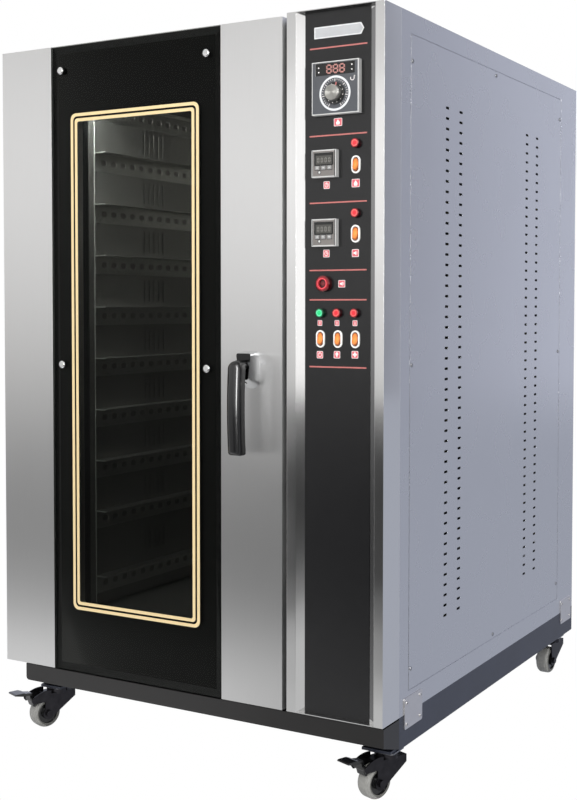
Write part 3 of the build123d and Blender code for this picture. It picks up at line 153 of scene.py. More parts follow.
def moulded(name, dark, light, roughness, texture=0.5 * MM, shine=0.0):
    """Moulded plastic: a spark eroded texture, glossier where shine is given.

    The texture is drawn coarser than a real one, so that it shows.
    """
    m = new_material(name)
    fine = grain(m, texture)
    cloudy = grain(m, 20 * MM)
    colour = add(m, "ShaderNodeMix", {0: cloudy, 6: srgb(dark), 7: srgb(light)}, data_type="RGBA")
    dull = add(m, "ShaderNodeMapRange",
               {"Value": fine, "To Min": roughness - 0.04, "To Max": roughness + 0.06})
    rounded = add(m, "ShaderNodeBevel", {"Radius": 0.4 * MM}, samples=4)
    shader = add(m, "ShaderNodeBsdfPrincipled", {
        "Base Color": colour.outputs[2],
        "Roughness": dull,
        "Coat Weight": shine,
        "Coat Roughness": 0.06,
        "Normal": add(m, "ShaderNodeBump", {"Height": fine, "Distance": 0.01 * MM, "Normal": rounded}),
    })
    add(m, "ShaderNodeOutputMaterial", {"Surface": shader})
    return m


def rubber(name, dark, light):
    """Grey non-marking rubber, paler and rougher in scuffed patches."""
    m = new_material(name)
    scuffs = grain(m, 6 * MM, 5.0)
    fine = grain(m, 0.5 * MM)
    colour = add(m, "ShaderNodeMix", {0: scuffs, 6: srgb(dark), 7: srgb(light)}, data_type="RGBA")
    shader = add(m, "ShaderNodeBsdfPrincipled", {
        "Base Color": colour.outputs[2],
        "Roughness": add(m, "ShaderNodeMapRange", {"Value": scuffs, "To Min": 0.3, "To Max": 0.5}),
        "Subsurface Weight": 0.1,
        "Subsurface Radius": (2 * MM, 2 * MM, 2 * MM),
        "Normal": add(m, "ShaderNodeBump", {"Height": fine, "Distance": 0.02 * MM}),
    })
    add(m, "ShaderNodeOutputMaterial", {"Surface": shader})
    return m


def dress_wheel(name, tread, wall, hub):
    """The tread and the walls of the tyre differ, and so does the hub inside its rim."""
    data = nodes[name].data
    data.materials.clear()
    for material in (tread, wall, hub):
        data.materials.append(material)
    low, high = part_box(name)
    middle = (low + high) / 2
    hub_reach = 0.85 * (high.z - low.z) / 2
    for face in data.polygons:
        across = math.hypot(face.normal.x, face.normal.y)
        if (face.center - middle).length < hub_reach:
            face.material_index = 2
        elif abs(face.normal.x) > 0.9 * across and across > 0.75:
            face.material_index = 1


zinc = plated("zinc_plate", "6a6b70", "9a9ba0", 0.3)
fork_steel = plated("dark_plate", "2b2a2d", "47464a", 0.34)
black_plastic = moulded("black_plastic", "0c0c0d", "161617", 0.28, shine=0.4)
tread_rubber = rubber("worn_tread", "7d7c78", "9c9b96")
wall_rubber = rubber("tyre_wall", "56554f", "6b6a66")
dress(zinc, "caster_plates")
for corner in ("front_left", "front_right", "rear_left", "rear_right"):
    dress(fork_steel, f"{corner}_caster_fork")
    dress_wheel(f"{corner}_wheel", tread_rubber, wall_rubber, black_plastic)
    if corner.startswith("front"):
        dress(black_plastic, f"{corner}_brake_pedal")


# Cabinet frame and cover panels.
# Satin stainless sheet, brushed upright, with a cool cast on the side panels.
# Each side panel is held by small domed screws along its edges.
def stainless(name, dark, light, roughness, along=(0.006, 0.006, 1.0), wave=0.0, spread=0.0):
    """Brushed stainless: hairlines drawn out along one axis, broad waves and faint smudges.

    The hairlines are about 0.4 mm wide, coarser than real ones, so that they show. Reflections
    spread across them, not along them. The brushed direction is tilted a little, so that no face
    lies square to it.
    """
    m = new_material(name)
    tilt = (0.02, 0.03, 0.01)
    brushed = tuple(a + t for a, t in zip(along, tilt))
    geometry = add(m, "ShaderNodeNewGeometry")
    across = add(m, "ShaderNodeVectorMath", {0: geometry.outputs["Normal"], 1: brushed},
                 operation="CROSS_PRODUCT")
    hair = grain(m, 60 * MM, 2.0, along)
    smudge = grain(m, 120 * MM, 5.0)
    normal = add(m, "ShaderNodeBevel", {"Radius": 0.8 * MM}, samples=4)
    if wave:
        waves = grain(m, 300 * MM, 1.0)
        normal = add(m, "ShaderNodeBump", {"Height": waves, "Distance": wave, "Normal": normal})
    normal = add(m, "ShaderNodeBump", {"Height": hair, "Distance": 0.0015 * MM, "Normal": normal})
    both = add(m, "ShaderNodeMath", {0: hair, 1: smudge}, operation="ADD")
    share = add(m, "ShaderNodeMapRange", {"Value": both, "To Min": -0.5, "To Max": 0.5})
    colour = add(m, "ShaderNodeMix", {0: share, 6: srgb(dark), 7: srgb(light)}, data_type="RGBA")
    dull = add(m, "ShaderNodeMapRange",
               {"Value": smudge, "To Min": roughness - 0.03, "To Max": roughness + 0.05})
    shader = add(m, "ShaderNodeBsdfPrincipled", {
        "Base Color": colour.outputs[2],
        "Metallic": 1.0,
        "Roughness": dull,
        "Anisotropic": spread,
        "Tangent": across,
        "Normal": normal,
    })
    add(m, "ShaderNodeOutputMaterial", {"Surface": shader})
    return m


def settle_order(build):
    """Puts points and faces in order of place, because a spin leaves them in an order that varies."""
    for parts, place in ((build.verts, lambda vert: tuple(vert.co)),
                         (build.faces, lambda face: tuple(face.calc_center_median()))):
        parts.index_update()
        ranks = {part.index: rank for rank, part in enumerate(sorted(parts, key=place))}
        parts.sort(key=lambda part: ranks[part.index])
        parts.index_update()


def merged(mesh_builder, name):
    """A mesh object at the origin from a function that fills a bmesh."""
    mesh = bpy.data.meshes.new(name)
    build = bmesh.new()
    mesh_builder(build)
    bmesh.ops.remove_doubles(build, verts=build.verts, dist=0.001 * MM)
    bmesh.ops.recalc_face_normals(build, faces=build.faces)
    settle_order(build)
    build.to_mesh(mesh)
    build.free()
    piece = bpy.data.objects.new(name, mesh)
    bpy.context.scene.collection.objects.link(piece)
    return piece


def finish_piece(piece, body, material, smooth=False):
    """Gives a new piece its material and lets it ride on its body."""
    piece.data.materials.append(material)
    for face in piece.data.polygons:
        face.use_smooth = smooth
    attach(piece, body)
    return piece


def dome_into(build, place, radius, height, steps=5, around=20):
    """A domed screw head whose axis is the place's z."""
    profile = [(radius * math.cos(i / steps * math.pi / 2), height * math.sin(i / steps * math.pi / 2))
               for i in range(steps + 1)]
    verts = [build.verts.new(Vector((max(r, 0.0), 0.0, h))) for r, h in [(radius, 0.0)] + profile]
    edges = [build.edges.new(pair) for pair in zip(verts[:-1], verts[1:])]
    result = bmesh.ops.spin(build, geom=verts + edges, cent=(0, 0, 0), axis=(0, 0, 1), steps=around,
                            angle=2 * math.pi, use_merge=True)
    touched = {v for v in verts if v.is_valid}
    touched.update(v for v in result["geom_last"] if isinstance(v, bmesh.types.BMVert) and v.is_valid)
    grown = set(touched)
    while touched:
        nearby = {edge.other_vert(v) for v in touched for edge in v.link_edges} - grown
        grown |= nearby
        touched = nearby
    bmesh.ops.transform(build, matrix=place, verts=list(grown))


def facing(direction, place):
    """A matrix whose z points along a direction, at a place in metres."""
    turn = Vector((0, 0, 1)).rotation_difference(Vector(direction)).to_matrix().to_4x4()
    return Matrix.Translation(Vector(place)) @ turn


side_steel = stainless("satin_stainless_side", "d5d6da", "dfe0e4", 0.26, wave=0.08 * MM)
top_steel = stainless("satin_stainless_top", "d5d6da", "dfe0e4", 0.36, (1.0, 0.006, 0.006))
screw_steel = plated("screw_steel", "8c8d90", "c4c5c8", 0.25)
dress(side_steel, "cabinet_frame", "right_side_panel", "left_side_panel", "back_panel")
dress(top_steel, "roof_panel")

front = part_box("column_shell")[0].y
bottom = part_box("column_shell")[0].z
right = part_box("column_shell")[1].x
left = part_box("cabinet_frame")[0].x
panel_low, panel_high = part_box("right_side_panel")


def panel_screws():
    """Domed screws down both upright edges and in the middle of the top and bottom edges."""
    inset = 8 * MM
    lowest = panel_low.z + 38 * MM
    highest = panel_high.z - 47 * MM
    head_radius = 4.5 * MM
    head_height = 2.0 * MM
    middle_y = (panel_low.y + panel_high.y) / 2
    middle_z = (panel_low.z + panel_high.z) / 2
    edges = (panel_low.y + inset, panel_high.y - inset)
    spots = [(y, z) for y in edges for z in (lowest, middle_z, highest)]
    spots += [(middle_y, panel_low.z + inset), (middle_y, panel_high.z - inset)]

    def build_screws(build):
        for y, z in spots:
            dome_into(build, facing((1, 0, 0), (right, y, z)), head_radius, head_height)
            dome_into(build, facing((-1, 0, 0), (left, y, z)), head_radius, head_height)

    finish_piece(merged(build_screws, "side_panel_screws"), "cabinet", screw_steel, True)


panel_screws()


# Corner plates.
# Four plain steel plates tie the cabinet to the base, each with four cross slotted dome screws.
dress(plated("plate_steel", "d6d4d4", "e8e6e6", 0.3), "corner_plates")


def box_into(build, low, high):
    """A block between two corners."""
    made = bmesh.ops.create_cube(build, size=1.0)
    size = Vector(high) - Vector(low)
    middle = (Vector(high) + Vector(low)) / 2
    move = Matrix.Translation(middle) @ Matrix.Diagonal((*size, 1.0))
    bmesh.ops.transform(build, matrix=move, verts=made["verts"])


def cross_slots():
    """Black crosses on the screw heads of the corner plates on both sides: painted shade for the shaded cross
    recesses.
    """
    low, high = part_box("corner_plates")
    inset = 9 * MM
    length = 79 * MM
    thin = 0.1 * MM
    long_half = 2.4 * MM
    short_half = 0.5 * MM
    ends = [y for start in (low.y, high.y - length) for y in (start + inset, start + length - inset)]
    heads = [(y, z) for y in ends for z in (low.z + inset, high.z - inset)]

    def build_slots(build):
        for x0, x1 in ((low.x - thin, low.x + thin), (high.x - thin, high.x)):
            for y, z in heads:
                for half_y, half_z in ((long_half, short_half), (short_half, long_half)):
                    box_into(build, (x0, y - half_y, z - half_z), (x1, y + half_y, z + half_z))

    # The crosses are painted shade: black slabs where the cross recesses lie in shade.
    finish_piece(merged(build_slots, "corner_screw_slot_shade"), "cabinet", black_plastic)


cross_slots()


# Oven cavity.
# Plain stainless liner, ducts and rails, slightly browned by heat. Behind the baffle are the
# fan and its rings of heating tube. The lamp has a clear dome, and the seal is red brown silicone.
cavity_steel = stainless("cavity_stainless", "8b8987", "a19e9b", 0.42)
rail_steel = stainless("rail_stainless", "bdbbb8", "d6d4d0", 0.3, (0.006, 1.0, 0.006))
dress(cavity_steel, "cavity_liner", "duct_panels", "fan_baffle")
dress(rail_steel, "tray_rails", "fan_impeller", "steam_pipe")
dress(plated("heater_sheath", "2d2926", "4a4440", 0.5), "heating_elements")
dress(paint("motor_paint", "2b2d30", "3a3c40", 0.4), "fan_motor", "control_gear")
dress(moulded("seal_silicone", "4a1e16", "5c281e", 0.55), "door_seal")


def bright_edges():
    """The rails' front ends are bent down, and the duct panels end in a fold. Their pale paint is a painted
    highlight where these edges catch the light.
    """
    rails_low, rails_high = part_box("tray_rails")
    y = rails_low.y
    rail_heights = [312.6 + 110.3 * step for step in range(9)] + [171.0]
    tops = [bottom + height * MM for height in rail_heights]
    deep = 2.6 * MM
    wide = 28 * MM
    lip = 0.6 * MM
    fold = 1.2 * MM
    low_z = min(tops) - 60 * MM
    high_z = max(tops) + 50 * MM

    def build_edges(build):
        for z in tops:
            box_into(build, (rails_low.x, y - lip, z - deep), (rails_low.x + wide, y, z))
            box_into(build, (rails_high.x - wide, y - lip, z - deep), (rails_high.x, y, z))
        for x in (rails_low.x, rails_high.x - fold):
            box_into(build, (x, y - fold, low_z), (x + fold, y, high_z))

    # A pale paint on the lips and folds: a painted highlight.
    painted_glint = paint("painted_glint_edge", "d8d6d2", "f2f0ec", 0.35)
    return finish_piece(merged(build_edges, "rail_end_folds"), "cabinet", painted_glint)


def wool():
    """Mineral wool: matted fibres in a dull straw colour."""
    m = new_material("mineral_wool")
    fibres = grain(m, 3 * MM, 8.0, (1.0, 1.0, 0.3))
    colour = add(m, "ShaderNodeMix", {0: fibres, 6: srgb("8a7d52"), 7: srgb("b9ab7c")}, data_type="RGBA")
    shader = add(m, "ShaderNodeBsdfPrincipled", {
        "Base Color": colour.outputs[2],
        "Roughness": 1.0,
        "Normal": add(m, "ShaderNodeBump", {"Height": fibres, "Distance": 1.5 * MM}),
    })
    add(m, "ShaderNodeOutputMaterial", {"Surface": shader})
    return m


def pane(name, dark, shine, roughness=0.02):
    """A thin pane: a tint over what lies behind, under a reflection that grows at grazing angles."""
    m = new_material(name)
    smears = grain(m, 40 * MM, 4.0)
    dull = add(m, "ShaderNodeMapRange", {"Value": smears, "To Min": roughness, "To Max": roughness + 0.03})
    clear = add(m, "ShaderNodeBsdfTransparent", {"Color": srgb(dark)})
    gloss = add(m, "ShaderNodeBsdfGlossy", {"Color": srgb("ffffff"), "Roughness": dull})
    grazing = add(m, "ShaderNodeFresnel", {"IOR": 1.5})
    amount = add(m, "ShaderNodeMath", {0: grazing, 1: shine}, operation="MULTIPLY")
    both = add(m, "ShaderNodeMixShader", {0: amount, 1: clear, 2: gloss})
    add(m, "ShaderNodeOutputMaterial", {"Surface": both})
    return m


edge_folds = bright_edges()
dress(wool(), "insulation")
dress(pane("lamp_glass", "f4f4ee", 1.0), "cavity_lamp")


# Control column.
# Bright stainless, folded, about a recessed control plate with a dark film on it.
# Thin red lines part the instruments, and small red squares with pale signs stand under them.
column_steel = stainless("bright_stainless_column", "e2e2e2", "ececec", 0.09, wave=0.1 * MM)
fascia_film = moulded("dark_film", "121213", "19191a", 0.22, 0.3 * MM)
dress(column_steel, "column_shell")
dress(fascia_film, "fascia_panel")


def recess_strip():
    """The narrow strip beside the control plate takes a greyer, rougher steel: the grey is painted shade from
    its recess, and the roughness is real.
    """
    data = nodes["column_shell"].data
    # A darker steel: painted shade in the recess beside the control plate.
    data.materials.append(stainless("recess_painted_shade_stainless", "8a8a8b", "989899", 0.2))
    strip_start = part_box("fascia_panel")[1].x - 25 * MM
    recess = front + 10 * MM
    for face in data.polygons:
        if face.normal.y < -0.9 and face.center.y > recess and face.center.x > strip_start:
            face.material_index = 1


recess_strip()
plate_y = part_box("fascia_panel")[0].y


def printed(name, dark, light, glow=0.0):
    """Screen printed ink or a film label, slightly uneven; it may glow a little."""
    m = new_material(name)
    ink = grain(m, 3 * MM, 6.0)
    colour = add(m, "ShaderNodeMix", {0: ink, 6: srgb(dark), 7: srgb(light)}, data_type="RGBA")
    shader = add(m, "ShaderNodeBsdfPrincipled", {
        "Base Color": colour.outputs[2],
        "Roughness": add(m, "ShaderNodeMapRange", {"Value": ink, "To Min": 0.35, "To Max": 0.5}),
        "Emission Color": colour.outputs[2],
        "Emission Strength": glow,
        "Normal": add(m, "ShaderNodeBump", {"Height": ink, "Distance": 0.01 * MM}),
    })
    add(m, "ShaderNodeOutputMaterial", {"Surface": shader})
    return m


def slab_into(build, points, back, thickness):
    """A flat plate from points (x left of the right face, z over the underside) in mm, facing front."""
    loops = []
    for y in (back, back - thickness):
        loops.append([build.verts.new((right - x * MM, y, bottom + z * MM)) for x, z in points])
    build.faces.new(loops[0])
    build.faces.new(list(reversed(loops[1])))
    for i in range(len(points)):
        j = (i + 1) % len(points)
        build.faces.new((loops[0][i], loops[0][j], loops[1][j], loops[1][i]))


def rectangle(x, z, wide, tall, radius=0.0, steps=4):
    """Corner points of a rectangle about its centre, with round corners if asked."""
    if not radius:
        return [(x - wide / 2, z - tall / 2), (x + wide / 2, z - tall / 2),
                (x + wide / 2, z + tall / 2), (x - wide / 2, z + tall / 2)]
    points = []
    corners = ((-1, -1, 180), (1, -1, 270), (1, 1, 0), (-1, 1, 90))
    for sx, sz, start in corners:
        cx = x + sx * (wide / 2 - radius)
        cz = z + sz * (tall / 2 - radius)
        for i in range(steps + 1):
            angle = math.radians(start + 90 * i / steps)
            points.append((cx + radius * math.cos(angle), cz + radius * math.sin(angle)))
    return points


def circle(x, z, radius, count=32):
    """Corner points of a disc."""
    return [(x + radius * math.cos(2 * math.pi * i / count), z + radius * math.sin(2 * math.pi * i / count))
            for i in range(count)]


def slabs(name, shapes, back, thickness, material, body="cabinet"):
    """One piece made of several flat plates."""
    def build_slabs(build):
        for points in shapes:
            slab_into(build, points, back, thickness)
    return finish_piece(merged(build_slabs, name), body, material)


film = 0.15 * MM
line_heights = (1221.2, 1063.4, 942.3, 819.9, 766.3, 644.0)
red_ink = printed("red_ink", "ae5e5a", "c0746e")
icon_ink = printed("icon_ink", "c8404e", "d86a72")
pale_ink = printed("pale_ink", "f1e9e6", "fbf6f2")
slabs("fascia_lines", [rectangle(98.2, z, 116.5, 2.5) for z in line_heights], plate_y, film, red_ink)


def name_plate():
    """A blank pale plate with a pointed end, above the controller."""
    low = 1238.5
    high = 1259.3
    start = 146.8
    shoulder = 52.0
    tip = 46.0
    thick = 0.8 * MM
    points = [(start, low), (shoulder, low), (tip, (low + high) / 2), (shoulder, high), (start, high)]
    middle_x = (start + tip) / 2
    middle_z = (low + high) / 2
    smaller = [(middle_x + (x - middle_x) * 0.96, middle_z + (z - middle_z) * 0.8) for x, z in points]
    slabs("name_plate", [points], plate_y, thick, moulded("name_plate_rim", "cfcfce", "dededd", 0.3))
    slabs("name_plate_field", [smaller], plate_y - thick, 0.1 * MM,
          moulded("name_plate_field", "a6a7a8", "b6b7b8", 0.3))


name_plate()


def icon_shapes():
    """The signs under the instruments: a place, a size and the pale shapes inside its red square."""
    def flame():
        return [[(-3, -5), (3, -5), (4, -1), (0, 5.5), (-4, -1)]]

    def clock():
        hands = [rectangle(-0.2, 1.8, 1.2, 4.2), rectangle(-1.6, 0, 3.6, 1.2)]
        ring = circle(0, 0, 5.2, 20)
        inner = circle(0, 0, 3.9, 20)
        sides = []
        for i in range(20):
            j = (i + 1) % 20
            sides.append([ring[i], ring[j], inner[j], inner[i]])
        return sides + hands

    def lamp_sign():
        return [circle(0, 1.5, 3.8, 16), rectangle(0, -3.6, 3.2, 2.6)]

    def sound():
        return [[(1, -1.8), (4.5, -1.8), (4.5, 1.8), (1, 1.8), (-2.2, 4.8), (-2.2, -4.8)],
                rectangle(-4.2, 0, 1.2, 6.0)]

    def fan_sign():
        reach = 3.2
        blades = [circle(x, z, 2.1, 12) for x, z in ((0, reach), (-reach, 0), (0, -reach), (reach, 0))]
        return blades + [circle(0, 0, 1.4, 12)]

    def power():
        return clock()[:20] + [rectangle(0, 3.4, 1.4, 5.0)]

    def bars():
        return [rectangle(0, 0, 5.6, 1.6), rectangle(0, 3.2, 4.4, 1.6), rectangle(0, -3.2, 4.4, 1.6)]

    return [(98.3, 1086, 16.5, 14.4, flame()), (121.2, 974.2, 12.6, 13.6, clock()),
            (62.3, 974.9, 16.0, 14.6, flame()), (121.6, 850.3, 13.0, 13.6, clock()),
            (62.6, 849.9, 13.8, 13.6, sound()), (90.0, 795.2, 13.6, 13.2, sound()),
            (134.6, 666.1, 12.8, 13.2, power()), (99.5, 666.8, 12.8, 13.2, lamp_sign()),
            (63.0, 667.5, 13.2, 13.2, fan_sign()),
            *[(x, 724.2, 9.4, 10.2, bars()) for x in (134.7, 99.6, 63.1)]]


def icons():
    """A pale border, a red square and a pale sign, one on the other."""
    drawn_wide = 17
    drawn_tall = 16
    squares = []
    signs = []
    borders = []
    for x, z, wide, tall, shapes in icon_shapes():
        borders.append(rectangle(x, z, wide, tall, 1.6))
        squares.append(rectangle(x, z, wide - 1.6, tall - 1.6, 1.2))
        for points in shapes:
            signs.append([(x + px * wide / drawn_wide, z + pz * tall / drawn_tall) for px, pz in points])
    slabs("icon_borders", borders, plate_y, film, pale_ink)
    slabs("icon_squares", squares, plate_y - film, film, icon_ink)
    slabs("icon_signs", signs, plate_y - 2 * film, film, pale_ink)


icons()


# Instruments.
# A square temperature controller with a dial and a red three figure display, and two smaller
# timers with grey displays and three keys each. Their rims catch the light.
grey_face = moulded("controller_grey", "45474b", "505256", 0.45)
rim_light = moulded("instrument_rim", "b8b8b6", "cccbc8", 0.35)
key_grey = moulded("key_grey", "868584", "9a9997", 0.4)
warm_face = moulded("timer_face", "6c6763", "7c7773", 0.45)
display_dark = moulded("display_dark", "121312", "1a1b1a", 0.2)
display_grey = moulded("display_grey", "3c3b37", "4a4945", 0.25)
lit_red = printed("lit_figures", "9c6862", "b07c74", 0.1)
dress(rim_light, "instrument_bodies")
for row in ("upper", "lower"):
    for index in (1, 2, 3):
        dress(key_grey, f"{row}_timer_key_{index}")
face_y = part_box("instrument_bodies")[0].y
controller = (98.4, 1146.5)
dial = (98.4, 1136.0)


def framed(name, x, z, wide, tall, holes, back, thickness, material):
    """A face plate with rectangular holes: strips of plate between the holes' edges."""
    plates = [(x, z, wide, tall), *holes]
    xs = sorted({p[0] + half * p[2] for p in plates for half in (-0.5, 0.5)})
    zs = sorted({p[1] + half * p[3] for p in plates for half in (-0.5, 0.5)})
    tiles = []
    for x0, x1 in zip(xs[:-1], xs[1:]):
        for z0, z1 in zip(zs[:-1], zs[1:]):
            mx = (x0 + x1) / 2
            mz = (z0 + z1) / 2
            if not any(abs(mx - hx) < hw / 2 and abs(mz - hz) < ht / 2 for hx, hz, hw, ht in holes):
                tiles.append(rectangle(mx, mz, x1 - x0, z1 - z0))
    return slabs(name, tiles, back, thickness, material)


def segments(x, z, wide, tall, lit):
    """The lit bars of one seven bar figure."""
    thick = tall * 0.16
    out = wide / 2 - thick / 2
    up = tall / 2 - thick / 2
    flat_long = 2 * out - thick
    upright_long = up - thick * 0.6
    bars = {
        "top": rectangle(x, z + up, flat_long, thick),
        "middle": rectangle(x, z, flat_long, thick),
        "bottom": rectangle(x, z - up, flat_long, thick),
        "upper_left": rectangle(x + out, z + up / 2, thick, upright_long),
        "upper_right": rectangle(x - out, z + up / 2, thick, upright_long),
        "lower_left": rectangle(x + out, z - up / 2, thick, upright_long),
        "lower_right": rectangle(x - out, z - up / 2, thick, upright_long),
    }
    return [bars[name] for name in lit]


def controller_face():
    """The grey face, the dark display window over the dial, three lit figures and four small marks."""
    all_bars = ("top", "middle", "bottom", "upper_left", "upper_right", "lower_left", "lower_right")
    x, z = controller
    display = (x, z + 33.5, 80.0, 22.0)
    framed("controller_face", x, z, 91.0, 91.0, [display], face_y, film, grey_face)
    window_y = face_y + 1.0 * MM
    slabs("controller_display", [rectangle(*display[:2], 79.6, 21.6)], window_y, film, display_dark)
    figures = []
    for offset in (13.2, 0.0, -13.2):
        figures.extend(segments(x + offset - 0.6, display[1], 11.4, 16.6, all_bars))
    slabs("controller_figures", figures, window_y - film, 0.1 * MM, lit_red)
    marks = [circle(x + 33.5, display[1] + dz, 1.3, 12) for dz in (3.5, -4.5)]
    marks += [circle(x - 33.5, display[1] + dz, 1.3, 12) for dz in (4.5, -4.0)]
    slabs("controller_display_marks", marks, window_y - film, 0.1 * MM, pale_ink)


def arc_strip(x, z, outer, inner, start, end, steps):
    """Plates that together form part of a flat ring."""
    tiles = []
    for i in range(steps):
        a = math.radians(start + (end - start) * i / steps)
        b = math.radians(start + (end - start) * (i + 1) / steps)
        tiles.append([(x - outer * math.sin(a), z + outer * math.cos(a)),
                      (x - outer * math.sin(b), z + outer * math.cos(b)),
                      (x - inner * math.sin(b), z + inner * math.cos(b)),
                      (x - inner * math.sin(a), z + inner * math.cos(a))])
    return tiles


def dial_scale():
    """A white ring with ticks and the degree sign beside it."""
    x, z = dial
    ring = arc_strip(x, z, 31.4, 27.6, 0, 360, 48)
    slabs("dial_ring", ring, face_y - film, film, printed("dial_ring_ink", "cfd0d2", "e2e3e4"))
    ticks = []
    for step in range(31):
        angle = -150 + 10 * step
        long = step % 5 == 0
        half = 1.2 if long else 0.7
        ticks.extend(arc_strip(x, z, 26.2, 21.0 if long else 23.4, angle - half, angle + half, 1))
    slabs("dial_ticks", ticks, face_y - film, film, pale_ink)
    sign_x = 64.0
    sign_z = 1160.0
    flip_x = 63.4
    sign = arc_strip(sign_x + 3.6, sign_z + 3.2, 1.3, 0.7, 0, 360, 16)
    sign += arc_strip(sign_x - 0.6, sign_z, 4.2, 3.0, 60, 300, 16)
    flipped = [[(2 * flip_x - px, pz) for px, pz in tile] for tile in sign]
    slabs("degree_sign", flipped, face_y - film, film, pale_ink)


def frame_strips(x, z, wide, tall, width):
    """Four strips just inside a rectangle's edges."""
    up = (tall - width) / 2
    out = (wide - width) / 2
    side_tall = tall - 2 * width
    return [rectangle(x, z + up, wide, width), rectangle(x, z - up, wide, width),
            rectangle(x + out, z, width, side_tall), rectangle(x - out, z, width, side_tall)]


def timer_face(name, z):
    """The warm grey face with seams round its keys, a grey display with faint figures, and a button."""
    x = 121.3
    keys = [(x - offset, z - 7.6, 9.2, 7.8) for offset in (-12.4, 0.0, 12.4)]
    display = (x, z + 8.2, 40.0, 23.0)
    framed(f"{name}_face", x, z, 43.6, 45.0, keys + [display], face_y, film, warm_face)
    seams = [rectangle(x + 22.6, z, 0.9, 47.0), rectangle(x - 22.6, z, 1.5, 47.0)]
    for key in keys:
        seams.extend(frame_strips(*key[:2], 10.4, 9.0, 0.7))
    slabs(f"{name}_seams", seams, face_y - film, 0.05 * MM, display_dark)
    window_y = face_y + 1.0 * MM
    slabs(f"{name}_display", [rectangle(*display[:2], 39.6, 22.6)], window_y, film, display_dark)
    slabs(f"{name}_window", [rectangle(x, z + 6.6, 33.0, 16.0)], window_y - film, 0.1 * MM, display_grey)
    zero = ("top", "bottom", "upper_left", "upper_right", "lower_left", "lower_right")
    figures = []
    for offset in (11.4, 3.8, -3.8, -11.4):
        figures.extend(segments(x + offset, z + 6.4, 4.6, 9.4, zero))
    faint = printed(f"{name}_faint_figures", "6d6b66", "7a7872")
    slabs(f"{name}_figures", figures, window_y - 0.25 * MM, 0.05 * MM, faint)
    button = (x + 8.4, z - 15.6)
    ring = arc_strip(*button, 3.4, 2.4, 0, 360, 20)
    slabs(f"{name}_button_ring", ring, face_y - film, film, display_dark)
    slabs(f"{name}_button", [circle(*button, 2.2, 20)], face_y - film, 0.3 * MM, rim_light)


controller_face()
dial_scale()
timer_face("upper_timer", 1011.9)
timer_face("lower_timer", 887.5)


def key_signs():
    """A pale mark on each timer key, which moves with it."""
    key_ink = printed("key_ink", "c2c0bc", "d0cecb")
    for row in ("upper", "lower"):
        for index in (1, 2, 3):
            name = f"{row}_timer_key_{index}"
            low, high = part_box(name)
            x = (right - (low.x + high.x) / 2) / MM
            z = ((low.z + high.z) / 2 - bottom) / MM
            slabs(f"{name}_sign", [rectangle(x, z, 3.4, 1.6)], low.y, 0.1 * MM, key_ink, name)


key_signs()


def knob_finish():
    """Turned aluminium: rings about the knob's axis, which light up in two opposite fans.

    The rings are drawn wider apart than real turning marks, so that they show.
    """
    m = new_material("turned_aluminium")
    low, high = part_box("temperature_knob")
    middle = ((low.x + high.x) / 2, 0.0, (low.z + high.z) / 2)
    ring_pitch = 0.45 * MM
    place = add(m, "ShaderNodeTexCoord").outputs["Object"]
    offset = add(m, "ShaderNodeVectorMath", {0: place, 1: middle}, operation="SUBTRACT")
    flat = add(m, "ShaderNodeVectorMath", {0: offset, 1: (1.0, 0.0, 1.0)}, operation="MULTIPLY")
    outward = add(m, "ShaderNodeVectorMath", {0: flat}, operation="NORMALIZE")
    away = add(m, "ShaderNodeVectorMath", {0: flat}, operation="LENGTH").outputs["Value"]
    turns = add(m, "ShaderNodeMath", {0: away, 1: 2 * math.pi / ring_pitch}, operation="MULTIPLY")
    rings = add(m, "ShaderNodeMath", {0: turns}, operation="SINE")
    glint = grain(m, 1.5 * MM)
    colour = add(m, "ShaderNodeMix", {0: glint, 6: srgb("c9c8c2"), 7: srgb("e2e1dc")}, data_type="RGBA")
    shader = add(m, "ShaderNodeBsdfPrincipled", {
        "Base Color": colour.outputs[2],
        "Metallic": 1.0,
        "Roughness": 0.45,
        "Anisotropic": 0.95,
        "Tangent": outward,
        "Normal": add(m, "ShaderNodeBump", {"Height": rings, "Distance": 0.002 * MM}),
    })
    add(m, "ShaderNodeOutputMaterial", {"Surface": shader})
    return m


def knob():
    """The cap is turned aluminium and the skirt under it black plastic."""
    data = nodes["temperature_knob"].data
    data.materials.clear()
    data.materials.append(knob_finish())
    data.materials.append(black_plastic)
    low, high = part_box("temperature_knob")
    x = (low.x + high.x) / 2
    z = (low.z + high.z) / 2
    cap_radius = 14.1 * MM
    skirt_front = face_y - 2.4 * MM
    for face in data.polygons:
        away = math.hypot(face.center.x - x, face.center.z - z)
        if away > cap_radius or face.center.y > skirt_front:
            face.material_index = 1


knob()


def knob_pointer():
    """A red line on the knob's skirt at its pointer, and dots round the rest of the skirt."""
    x, z = dial
    skirt_y = face_y - 2.3 * MM
    pointer = 12
    line = arc_strip(x, z, 19.6, 14.2, pointer - 4.0, pointer + 4.0, 2)
    slabs("knob_pointer_line", line, skirt_y, 0.65 * MM, red_ink, "temperature_knob")
    dots = []
    for step in range(1, 12):
        angle = math.radians(pointer + 30 * step)
        dots.append(circle(x - 17.2 * math.sin(angle), z + 17.2 * math.cos(angle), 0.8, 10))
    slabs("knob_skirt_dots", dots, skirt_y, 0.1 * MM, pale_ink, "temperature_knob")


knob_pointer()


# Switches, lamps and buzzer.
# Oval rockers of translucent orange plastic sit in white collars. The lamps are domed lenses,
# one green and the others red, and the buzzer is a stepped red ring with a dark throat.
def set_stops(ramp, stops):
    """Gives a colour ramp its places from 0 to 1 and the colour at each."""
    elements = ramp.color_ramp.elements
    while len(elements) < len(stops):
        elements.new(0.5)
    for element, (place, colour) in zip(elements, stops):
        element.position = place
        element.color = colour


